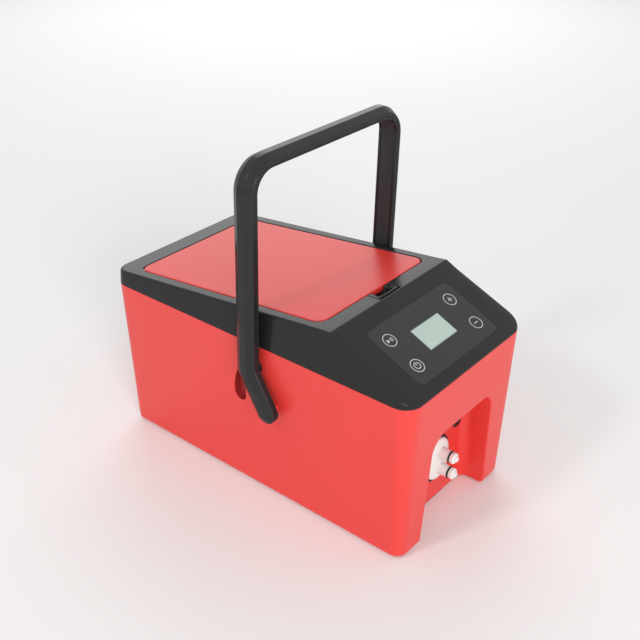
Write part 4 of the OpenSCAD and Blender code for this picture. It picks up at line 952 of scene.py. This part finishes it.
def black_top(s):
    """The black top: leaning sides, deck and panel with softened edges, and the lid's stepped opening."""
    skin = Skin()
    across = steps((-1, 1), (-0.75, 8), (-0.55, 8), (0.55, 16), (0.75, 8), (1, 8))
    q = s.fold_soft
    marks = np.array([s.fold_y + d for d in (-q - 5, -q - 0.6, -q, -q / 2, 0, q / 2, q)]) / s.corner_y
    before = np.linspace(-1, marks[0], 31)[:-1]
    after = np.linspace(marks[-1], 1, 32)[1:]
    along = np.concatenate([before, marks, after])
    past_fold, before_fold = len(before) + len(marks) - 1, len(before)
    centres, ways = around(s.corner_x, s.corner_y, across, along, 10)
    counts = (len(across), len(along), 9)
    k = math.tan(s.top_lean)
    blend = np.clip((centres[:, 1] - s.fold_y + 4) / 8, 0, 1)
    reach = s.panel_edge + (s.deck_edge - s.panel_edge) * blend**2 * (3 - 2 * blend)
    sharp = roof_outline(0.0, 0.0, s, centres, ways)
    inner = roof_outline(reach, 0.0, s, centres, ways)
    beside = roof_outline(reach + 0.6, 0.0, s, centres, ways)
    side_at = lambda z, inset=0.0: np.column_stack(
        [centres + ways * (s.part_radius - k * (z - s.part) - inset)[:, None], z]
    )
    low = np.full(len(centres), s.part)
    drop = np.minimum(reach, (sharp[:, 2] - s.part) * 0.4)
    under = side_at(sharp[:, 2] - drop)
    rows = [side_at(low, 0.5), side_at(low + 0.15, 0.15), side_at(low + 0.5), side_at(low + 0.9)]
    base = rows[-1]
    rows += [base + (under - base) * t for t in (0.25, 0.5, 0.75, 0.97, 1)]
    for t in np.linspace(0, 1, 6)[1:]:
        rows.append((1 - t) ** 2 * under + 2 * t * (1 - t) * sharp + t**2 * inner)
    rows.append(beside)
    skin.sheet(np.stack(rows), ring=True)

    hole = lambda grow, w: on_deck(raised(opening_line(grow, s), w), s)
    ledge = lambda inset, w: on_deck(raised(ledge_line(inset, s), w), s)
    rim = 0.5
    roof_sheets(skin, beside, hole(rim, 0.0), counts, past_fold, 0.0, s)
    well = [hole(rim, 0.0)]
    well[0][:, 2] = roof(well[0][:, 1], s)
    for a in np.linspace(0, RIGHT_ANGLE, 5)[1:]:
        well.append(hole(rim * (1 - math.sin(a)), -rim * (1 - math.cos(a))))
    deep, lowest = -LEDGE_DROP, -LEDGE_DROP - WALL
    well += [hole(0.0, -1.2), hole(0.0, deep + 0.5), hole(0.0, deep)]
    well += [ledge(8.0, deep), ledge(8.5, deep - 0.3)]
    inside = hole(2.0, -ROOF_THICK)
    inside[:, 2] = roof(inside[:, 1], s, ROOF_THICK)
    well += [ledge(8.5, lowest), hole(2.0, lowest), inside]
    skin.sheet(np.stack(well), ring=True)

    inner_edge = roof_outline(ROOF_THICK, ROOF_THICK, s, centres, ways)
    again = np.ones(len(inside), int)
    again[[len(across) + 9, -10]] += past_fold - before_fold
    roof_sheets(skin, inner_edge, np.repeat(inside, again, axis=0), counts, before_fold, ROOF_THICK, s)
    skin.sheet(np.stack([inner_edge, side_at(low, WALL), side_at(low, 0.5)]), ring=True)
    skin.piece("black_top", "machine", finish("top_black"), ["top_housing"])


# ---- lid and latch ----


def lid_pieces(s):
    """The lid: a shallow tray turned over, with softened edges, set flush in the deck."""
    skin = Skin()
    plan = rounded_plan(s.lid_half, s.lid_long, s.lid_round, 10, 12)
    profile = softened(
        [(-30, -2.5), (-3.5, -2.5), (-2.5, -3.2), (-2.5, -5), (0, -5), (0, -0.05), (-2, 0.0), (-30, 0.0)],
        (0, 0.4, 0.4, 0.4, 0.4, 1.6, 1.0, 0),
        5,
    )
    place = lambda p: on_deck(p + [0, s.lid_middle, 0], s)
    skin.stack(plan, profile, place)
    skin.piece("lid_shell", "lid", finish("lid_red"), ["lid_cover"])


def latch_piece(s):
    """The latch: a block whose top is a height field, level round a finger hollow open towards the lid."""
    skin = Skin()
    half = np.array([14, 13.6, 13, 11.6, 10.4, 9.9, 9.4, 9.0, 8.4, 7.4, 5.0, 2.5])
    x = np.concatenate([-half, [0], half[::-1]])
    u = np.array([3.7, 4.0, 4.6, 5.8, 6.4, 6.8, 7.2, 7.6, 8.4, 10, 12, 14, 15.2, 15.5])
    gx, gu = np.meshgrid(x, u)
    wall = 9.9 - (gu - 6.7) * (1.0 / 8.8)
    ease = lambda t: np.clip(t, 0, 1) ** 2 * (3 - 2 * np.clip(t, 0, 1))
    dip = ease((wall + 0.3 - np.abs(gx)) / 1.3) * ease((gu - 5.9) / 1.5)
    edge = np.minimum(np.minimum(14 - np.abs(gx), gu - 3.7), 1.0)
    top = -0.2 - 5.4 * dip - 0.45 * (1 - edge) ** 2
    field = np.stack([gx, gu, top], -1)
    place = lambda p: on_deck(p, s)
    skin.sheet(place(field))
    rim = border(field)
    foot = rim.copy()
    foot[:, 2] = -8.3
    skin.sheet(place(np.stack([rim, foot])), ring=True)
    skin.cover(place(foot))
    nose = rounded_plan(6.0, 2.2, 0.5, 3, 2)
    skin.stack(nose, softened([(0, -8.1), (0, -6.1)], 0), lambda p: place(p + [0, 17.3, 0]))
    skin.piece("latch_button", "latch", finish("top_black"), ["latch_slide"])


# ---- handle ----


def bail_section(groove, s):
    """Half profile of the bail: a flat inner face with a liner groove, a fine side groove and a bevel."""
    t, h, flat, step = s.handle_thick, s.handle_wide / 2, 3.2, 5.9
    fine = [(2.7, h), (2.4, h - 0.45), (1.9, h - 0.45), (1.6, h)]
    corners = [(0, 1.0), (t, 1.0), (t, flat), (step, h), *fine, (0, h), (0, 8.2)]
    outer = softened(corners, (0, 0, 0.4, 0.45, 0, 0, 0, 0, 0.6, 0), 4)
    return np.concatenate([[(t, 0.0)], outer[2:], [(0, 7.3), (groove, 7.3), (groove, 0.0)]])


def handle_pieces(s):
    """The bail: one section carried from pivot to pivot, with round ends turned about the pivots."""
    skin = Skin()
    plain, cut = bail_section(0.0, s), bail_section(2.2, s)

    def whole(half):
        return np.concatenate([half, (half * [1, -1])[::-1][1:-1]])

    low_dir = np.array([0, math.sin(s.elbow_turn), math.cos(s.elbow_turn)])
    up_dir = np.array([0, -math.sin(s.handle_lean), math.cos(s.handle_lean)])
    across = lambda d: np.array([0, d[2], -d[1]])
    pivot = np.array([0, s.pivot_y, s.pivot_z])
    elbow = pivot + low_dir * s.elbow
    halfway = (low_dir + up_dir) / np.linalg.norm(low_dir + up_dir)
    stretch = 1 / float(halfway @ up_dir)
    side = np.array([1.0, 0, 0])
    base = side * s.handle_in
    miter = math.tan(math.acos(float(halfway @ up_dir))) * s.handle_wide / 2
    stations = [(base + pivot, side, across(low_dir), plain)]
    for t in (0.3, 0.7):
        stations.append((base + pivot + low_dir * s.elbow * t, side, across(low_dir), plain))
    stations.append((base + elbow - low_dir * (miter + 0.8), side, across(low_dir), plain))
    stations.append((base + elbow, side, across(halfway) * stretch, plain))
    stations.append((base + elbow + up_dir * (miter + 0.8), side, across(up_dir), plain))
    straight = s.handle_rise - s.handle_bend
    for at, section in ((22.0, plain), (22.0, cut), (60.0, cut), (110.0, cut), (straight - 0.6, cut)):
        stations.append((base + elbow + up_dir * at, side, across(up_dir), section))
    hub = side * (s.handle_in - s.handle_bend) + elbow + up_dir * straight
    for q in np.linspace(0, RIGHT_ANGLE, 13):
        out = side * math.cos(q) + up_dir * math.sin(q)
        stations.append((hub + out * s.handle_bend, out, across(up_dir), cut))
    for t in (0.99, 0.66, 0.33, 0.0):
        top = side * (s.handle_in - s.handle_bend) * t + elbow + up_dir * s.handle_rise
        stations.append((top, up_dir, across(up_dir), cut))
    carried = lambda half, o, x, y: o + whole(half)[:, :1] * x + whole(half)[:, 1:] * y
    both = lambda rows: np.stack(rows + [row * [-1, 1, 1] for row in rows[::-1][1:]])
    skin.sheet(both([carried(section, o, x, y) for o, x, y, section in stations]), ring=True)
    q = np.linspace(0, math.pi, 19)[:, None, None]
    way = across(low_dir) * np.cos(q) - low_dir * np.sin(q)
    end = base + pivot + plain[:, :1] * side + plain[:, 1:] * way
    for flip in (1, -1):
        skin.sheet(end * [flip, 1, 1])
    out_of = lambda p, flip: np.stack([flip * p[..., 2], elbow[1] + p[..., 0], elbow[2] + p[..., 1]], -1)
    for flip in (1, -1):
        skin.lathe([(3, 81.6), (3, 91.8)], lambda p, flip=flip: out_of(p, flip))
    skin.piece("handle_bail", "handle", finish("handle_black"), ["handle_frame"])

    roller = Skin()
    neck = [(3.2, 81.5), (6.2, 81.5), (6.2, 85.2), (4.7, 86.2), (4.7, 91.0), (3.2, 91.0)]
    neck = softened(neck, (0, 0.4, 0.4, 0.4, 0, 0))
    for flip in (1, -1):
        roller.lathe(neck, lambda p, flip=flip: out_of(p, flip))
    roller.piece("guide_rollers", "handle", finish("slot_glide"), ["guide_sleeves"])

    strip = Skin()
    lane = softened([(0.06, 0.0), (0.06, 7.0), (1.5, 7.0), (1.5, 0.0)], (0, 0.4, 0, 0), 3)
    rows = [carried(lane, o, x, y) for o, x, y, section in stations if section is cut]
    rows[0] = rows[0] + up_dir * 0.3
    strip.tube(both(rows))
    strip.piece("handle_grip_strip", "handle", finish("grip_rubber"), ["handle_liner"])


# ---- control panel ----


def foil_piece(s):
    """The foil: cells of a plate, some with a round or square hole, whose side points agree."""
    skin = Skin()
    count = 10
    key, cell = s.key_x, KEY_CELL
    half = (DISPLAY_CELL, key - cell, key + cell, s.foil_x)
    xs = (*(-x for x in half[::-1]), *half)
    ys = (-s.foil_y, -s.key_y - cell, -s.key_y + cell, s.key_y - cell, s.key_y + cell, s.foil_y)
    through = lambda stops: steps(*((stop, count) for stop in stops))
    low, top = -0.4, 0.04

    def rounded(points):
        """Corner squares pressed into quarter discs: a point moves by max(a, b) / hypot(a, b)."""
        p = np.array(points, float)
        flat, end = np.array([xs[-2], ys[-2]]), np.array([xs[-1], ys[-1]])
        ab = np.maximum(np.abs(p[..., :2]) - flat, 0) / (end - flat)
        corner = (ab > 0).all(-1, keepdims=True)
        gain = ab.max(-1, keepdims=True) / np.maximum(np.linalg.norm(ab, axis=-1, keepdims=True), 1e-9)
        moved = np.sign(p[..., :2]) * (flat + ab * np.where(corner, gain, 1.0) * (end - flat))
        p[..., :2] = np.where(ab > 0, moved, p[..., :2])
        return p

    def ring(*rows):
        """A ring of faces through loops at their heights."""
        skin.sheet(on_panel(rounded(np.stack([raised(*row) for row in rows])), s), ring=True)

    framed = lambda loop, hole: ring((loop, top), (hole, top), (hole, low), (loop, low))
    for i in range(len(xs) - 1):
        for j in range(len(ys) - 1):
            x, y = through(xs[i : i + 2]), through(ys[j : j + 2])
            if i in (1, 5) and j in (1, 3):
                loop = walk(x, y)
                q = -0.75 * math.pi + 2 * math.pi * np.arange(len(loop)) / len(loop)
                middle = np.array([x[0] + x[-1], y[0] + y[-1]]) / 2
                framed(loop, middle + KEY_HOLE * np.stack([np.cos(q), np.sin(q)], -1))
            elif i != 3 or j not in (1, 2, 3):
                gx, gy = np.meshgrid(x, y)
                for z in (low, top):
                    skin.sheet(on_panel(rounded(np.stack([gx, gy, 0 * gx + z], -1)), s))
    # the display's cell spans three rows of cells, so its frame follows their points
    loop = walk(through(xs[3:5]), through(ys[1:5]))
    framed(loop, loop * DISPLAY_HOLE / (DISPLAY_CELL, s.key_y + cell))
    edge = walk(through(xs), through(ys))
    ring((edge, top), (edge, low))
    look = finish("control_foil")
    skin.piece("panel_foil", "machine", look, ["control_foil"], crease=12.0)


def window_piece(s):
    """The display window: a thin plate with softened edges, flush with the foil."""
    skin = Skin()
    plan = rounded_plan(19.9, 11.8, 0.7, 4, 4)
    profile = softened([(0, -2.4), (0, 0.0), (-8, 0.0)], (0, 0.25, 0), 3)
    skin.stack(plan, profile, lambda p: on_panel(p, s))
    look = finish("display_face")
    skin.piece("display_glass", "machine", look, ["display_window"], crease=12.0)


def key_pieces(s):
    """The four keys: a turned cap with a softened rim, a skirt under the foil and a stem to the switch."""
    stem, skirt = [(0.8, -9.0), (1.6, -9.0), (1.6, -4.4)], [(8.2, -4.4), (8.2, -3.3), (6.8, -3.3)]
    cap = [(6.8, 0.05), (5.6, 0.0), (3.0, 0.0)]
    profile = softened([*stem, *skirt, *cap], (0, 0.2, 0, 0.3, 0.3, 0, 0.3, 0.3, 0), 4)
    for sign, (across, up) in KEYS.items():
        skin = Skin()
        place = lambda p, a=across, b=up: on_panel(p + [a * s.key_x, b * s.key_y, 0], s)
        skin.lathe(profile, place, 56)
        skin.piece(f"key_cap_{sign}", f"{sign}_key", finish(f"key_{sign}"), [f"key_{sign}"])


# ---- coupling, socket and feet ----


def facing_front(s, x, z):
    """Places a profile whose height axis points out of the recess wall."""
    return lambda p: np.stack([x + p[..., 0], s.recess_y - p[..., 2], z + p[..., 1]], -1)


def coupling_pieces(s):
    """Backing plate, domed flange, two grooved nipples and their rings, all facing the front."""
    wall = facing_front(s, s.coupling_x, s.coupling_z)
    backing = Skin()
    backing.stack(stadium_plan(18.1, 23.9), softened([(0, 0.0), (0, 1.6), (-6, 1.6)], (0, 0.5, 0)), wall)
    backing.piece("coupling_pad", "machine", finish("rubber_black"), ["coupling_backing"])

    flange = Skin()
    dome = softened([(0, 1.65), (0, 3.3), (-1.6, 4.7), (-5, 5.75), (-13, 5.9)], (0, 1.2, 1.2, 2.2, 0), 5)
    flange.stack(stadium_plan(15.5, 21.3), dome, wall)
    white = finish("fitting_white")
    flange.piece("coupling_plate", "machine", white, ["coupling_flange"])

    for name, sense in (("supply", 1), ("return", -1)):
        z = s.coupling_z + sense * s.nipple_gap / 2
        nipple = Skin()
        profile = softened(
            [
                (3.1, 5.0), (5.7, 5.0), (5.8, 5.95), (5.25, 14.2), (5.2, 15.0), (4.3, 15.2), (4.3, 16.9),
                (5.2, 16.95), (5.2, 20.0), (4.2, 21.0), (3.15, 21.0), (3.1, 20.4), (3.1, 13.0),
            ],
            (0, 0, 0.2, 0.3, 0.2, 0.1, 0.1, 0.2, 0.9, 0.5, 0.2, 0.1, 0),
            3,
        )
        nipple.lathe(profile, facing_front(s, s.coupling_x, z), 56)
        nipple.piece(f"{name}_nipple_shell", "machine", white, [f"nipple_{name}"])
        valve = Skin()
        tip = softened([(3.0, 12.0), (3.0, 21.0), (2.1, 22.9), (1.0, 22.95)], (0, 0.4, 0.5, 0), 4)
        valve.lathe(tip, facing_front(s, s.coupling_x, z), 40)
        valve.piece(f"{name}_valve_tip", f"{name}_valve", white, [f"valve_{name}"])

    rings = Skin()
    q = np.linspace(0, 2 * math.pi, 13)
    a = np.linspace(0, 2 * math.pi, 57)
    reach, height = (5.02 + 0.75 * np.cos(q))[:, None], (16.05 + 0.75 * np.sin(q))[:, None]
    torus = np.stack(np.broadcast_arrays(reach * np.cos(a), reach * np.sin(a), height), -1)
    for sense in (1, -1):
        rings.sheet(facing_front(s, s.coupling_x, s.coupling_z + sense * s.nipple_gap / 2)(torus))
    rings.piece("nipple_rings", "machine", finish("rubber_black"), ["sealing_rings"])


def socket_piece(s):
    """The power socket: a turned collar with a hole and its centre pin."""
    skin = Skin()
    place = facing_front(s, s.jack_x, s.jack_z)
    collar = softened(
        [
            (2.0, -9.0), (5.2, -9.0), (5.2, 0.0), (7.0, 0.0), (7.0, 2.0),
            (3.2, 2.0), (3.2, -8.0), (1.0, -8.0), (1.0, 1.0), (0.4, 1.0),
        ],
        (0, 0, 0, 0, 0.6, 0.5, 0, 0, 0.3, 0),
        4,
    )
    skin.lathe(collar, place, 48)
    skin.piece("power_jack", "machine", finish("socket_black"), ["power_socket"])


def feet_piece(s):
    """The four feet: low turned pads with a softened sole."""
    skin = Skin()
    pad = softened([(4.0, 0.0), (7.9, 0.0), (8.0, 2.0), (4.0, 2.0)], (0, 0.7, 0.2, 0), 5)
    for a in (1, -1):
        for b in (1, -1):
            skin.lathe(pad, lambda p, a=a, b=b: p + [a * (s.corner_x - 5), b * (s.corner_y - 5), 0])
    skin.piece("rubber_feet", "machine", finish("rubber_black"), ["feet"])


# ---- carried solids ----

CARRIED = {
    "steel": "housing_screws temperature_probe lid_hinge_pins lid_catch lid_screws latch_spring pivot_pins "
    "pivot_washers board_screws valve_springs socket_nut pump_bracket pump_screws hose_clips",
    "tank_pale": "tank",
    "foam": "tank_foam lid_foam",
    "inner_grey": "strainer lid_plug",
    "seal_grey": "lid_seal",
    "slot_glide": "handle_bushes",
    "display_grey": "display_module",
    "board_green": "control_board driver_board",
    "part_black": "key_switches driver_parts",
    "fitting_white": "coupling_nuts pump_impeller",
    "pump_dark": "pump_chamber pump_cover",
    "motor_metal": "pump_motor",
    "hose_clear": "suction_hose supply_hose return_hose",
    "lead_black": "control_lead socket_lead probe_lead",
    "lead_red": "pump_lead",
}


def dress_carried():
    """Gives every carried solid its procedural finish."""
    for name, nodes in CARRIED.items():
        for node in nodes.split():
            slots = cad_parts[node].data.materials
            slots.clear()
            slots.append(finish(name))


# ---- stage ----


def stand(thing, side, up, back, place):
    """Places a lamp or camera by its own three axes and its place."""
    axes = np.column_stack([side, up, back, place])
    thing.matrix_world = Matrix([*axes.tolist(), [0, 0, 0, 1]])


def area_light(name, place, aim, size, power):
    """A square lamp at a place, aimed at a point."""
    lamp = bpy.data.lights.new(name, "AREA")
    lamp.size, lamp.energy = size, power
    back = np.array(place, float) - np.array(aim, float)
    back /= np.linalg.norm(back)
    side = np.cross([0, 0, 1.0], back)
    side /= np.linalg.norm(side)
    stand(linked(name, lamp), side, np.cross(back, side), back, place)


def make_stage():
    """Pale floor, plain soft light, and the camera at the photograph's angle."""
    floor = Finish("pale_floor")
    cloud = floor.noise(3.0, 2.0)
    tone = tuple(tints().floor)
    floor.set(Base_Color=floor.mix(cloud, shade(tone, 0.985), tone), Roughness=0.9, Specular_IOR_Level=0.1)
    mesh = bpy.data.meshes.new("floor")
    q = np.linspace(0, 2 * math.pi, 64, endpoint=False)
    ring = np.column_stack([np.cos(q), np.sin(q), 0 * q]) * 12.0
    mesh.from_pydata(ring, [], [list(range(64))])
    mesh.materials.append(floor.material)
    linked("floor", mesh)

    world = bpy.data.worlds.new("plain_light")
    bpy.context.scene.world = world
    sky = Nodes(world)
    seen = lambda kind: sky.node("ShaderNodeLightPath", output=kind)
    shown = seen("Is Camera Ray")
    for kind in ("Is Glossy Ray", "Is Transmission Ray"):
        shown = shown.math("MAXIMUM", seen(kind))
    glow = lambda strength: sky.node(
        "ShaderNodeBackground", inputs={"Color": (1, 1, 1), "Strength": strength}
    )
    blend = sky.node("ShaderNodeMixShader", inputs={0: shown, 1: glow(0.55), 2: glow(1.0)})
    sky.end("ShaderNodeOutputWorld", blend)

    area_light("front_lamp", (-1.3, -1.9, 1.0), (0, 0, 0.1), 0.8, 30.0)
    area_light("left_lamp", (-1.6, 0.3, 1.65), (0, 0, 0.15), 0.3, 8.0)
    area_light("rear_lamp", (1.5, 1.25, 1.3), (0, 0, 0.15), 1.8, 17.0)

    camera = bpy.data.cameras.new("camera")
    camera.sensor_width = 36.0
    camera.lens = 54.74
    camera.clip_start, camera.clip_end = 0.01, 50.0
    right = np.array([0.6337, -0.7736, 0.0041])
    up = np.array([0.3864, 0.3212, 0.8646])
    right /= np.linalg.norm(right)
    up -= right * (up @ right)
    up /= np.linalg.norm(up)
    eye = linked("camera", camera)
    stand(eye, right, up, np.cross(right, up), np.array([-594.28, -495.27, 588.81]) * MM)
    bpy.context.scene.camera = eye
    bpy.context.scene.view_settings.view_transform = "Standard"


# ---- operators ----


class MACHINE_OT_finishes(bpy.types.Operator):
    """Makes the procedural finishes and dresses the carried solids"""

    bl_idname = "machine.finishes"
    bl_label = "Finishes"

    def execute(self, context):
        make_finishes()
        dress_carried()
        return {"FINISHED"}


class MACHINE_OT_red_body(bpy.types.Operator):
    """Makes the red body with its recess and guide slots"""

    bl_idname = "machine.red_body"
    bl_label = "Red Body"

    def execute(self, context):
        red_body(sizes())
        return {"FINISHED"}


class MACHINE_OT_black_top(bpy.types.Operator):
    """Makes the black top with deck, panel and lid opening"""

    bl_idname = "machine.black_top"
    bl_label = "Black Top"

    def execute(self, context):
        black_top(sizes())
        return {"FINISHED"}


class MACHINE_OT_lid(bpy.types.Operator):
    """Makes the lid and its latch"""

    bl_idname = "machine.lid"
    bl_label = "Lid and Latch"

    def execute(self, context):
        lid_pieces(sizes())
        latch_piece(sizes())
        return {"FINISHED"}


class MACHINE_OT_handle(bpy.types.Operator):
    """Makes the handle and its grip strip"""

    bl_idname = "machine.handle"
    bl_label = "Handle"

    def execute(self, context):
        handle_pieces(sizes())
        return {"FINISHED"}


class MACHINE_OT_controls(bpy.types.Operator):
    """Makes the foil, the display and the four keys"""

    bl_idname = "machine.controls"
    bl_label = "Controls"

    def execute(self, context):
        s = sizes()
        foil_piece(s)
        window_piece(s)
        key_pieces(s)
        return {"FINISHED"}


class MACHINE_OT_fittings(bpy.types.Operator):
    """Makes the hose coupling, the power socket and the feet"""

    bl_idname = "machine.fittings"
    bl_label = "Fittings"

    def execute(self, context):
        s = sizes()
        coupling_pieces(s)
        socket_piece(s)
        feet_piece(s)
        return {"FINISHED"}


class MACHINE_OT_stage(bpy.types.Operator):
    """Makes the floor, the light and the camera"""

    bl_idname = "machine.stage"
    bl_label = "Stage"

    def execute(self, context):
        make_stage()
        return {"FINISHED"}


class MACHINE_PT_panel(bpy.types.Panel):
    """Lists the machine's makers in the sidebar"""

    bl_idname = "MACHINE_PT_panel"
    bl_label = "Therapy Machine"
    bl_space_type = "VIEW_3D"
    bl_region_type = "UI"
    bl_category = "Machine"

    def draw(self, context):
        for operator in OPERATORS:
            self.layout.operator(operator.bl_idname)
        for group in (context.scene.machine_sizes, context.scene.machine_colours):
            box = self.layout.box()
            for key in group.bl_rna.properties.keys():
                if key not in ("rna_type", "name"):
                    box.prop(group, key)


OPERATORS = (
    MACHINE_OT_finishes,
    MACHINE_OT_red_body,
    MACHINE_OT_black_top,
    MACHINE_OT_lid,
    MACHINE_OT_handle,
    MACHINE_OT_controls,
    MACHINE_OT_fittings,
    MACHINE_OT_stage,
)
CLASSES = (MachineSizes, MachineColours, *OPERATORS, MACHINE_PT_panel)


def register():
    """Registers the classes and hangs the settings on the scene."""
    for c in CLASSES:
        bpy.utils.register_class(c)
    bpy.types.Scene.machine_sizes = bpy.props.PointerProperty(type=MachineSizes)
    bpy.types.Scene.machine_colours = bpy.props.PointerProperty(type=MachineColours)


def unregister():
    """Takes the settings and classes away again."""
    del bpy.types.Scene.machine_colours
    del bpy.types.Scene.machine_sizes
    for c in reversed(CLASSES):
        bpy.utils.unregister_class(c)


def main():
    register()
    for operator in OPERATORS:
        group, name = operator.bl_idname.split(".")
        getattr(getattr(bpy.ops, group), name)()


if __name__ == "__main__":
    main()
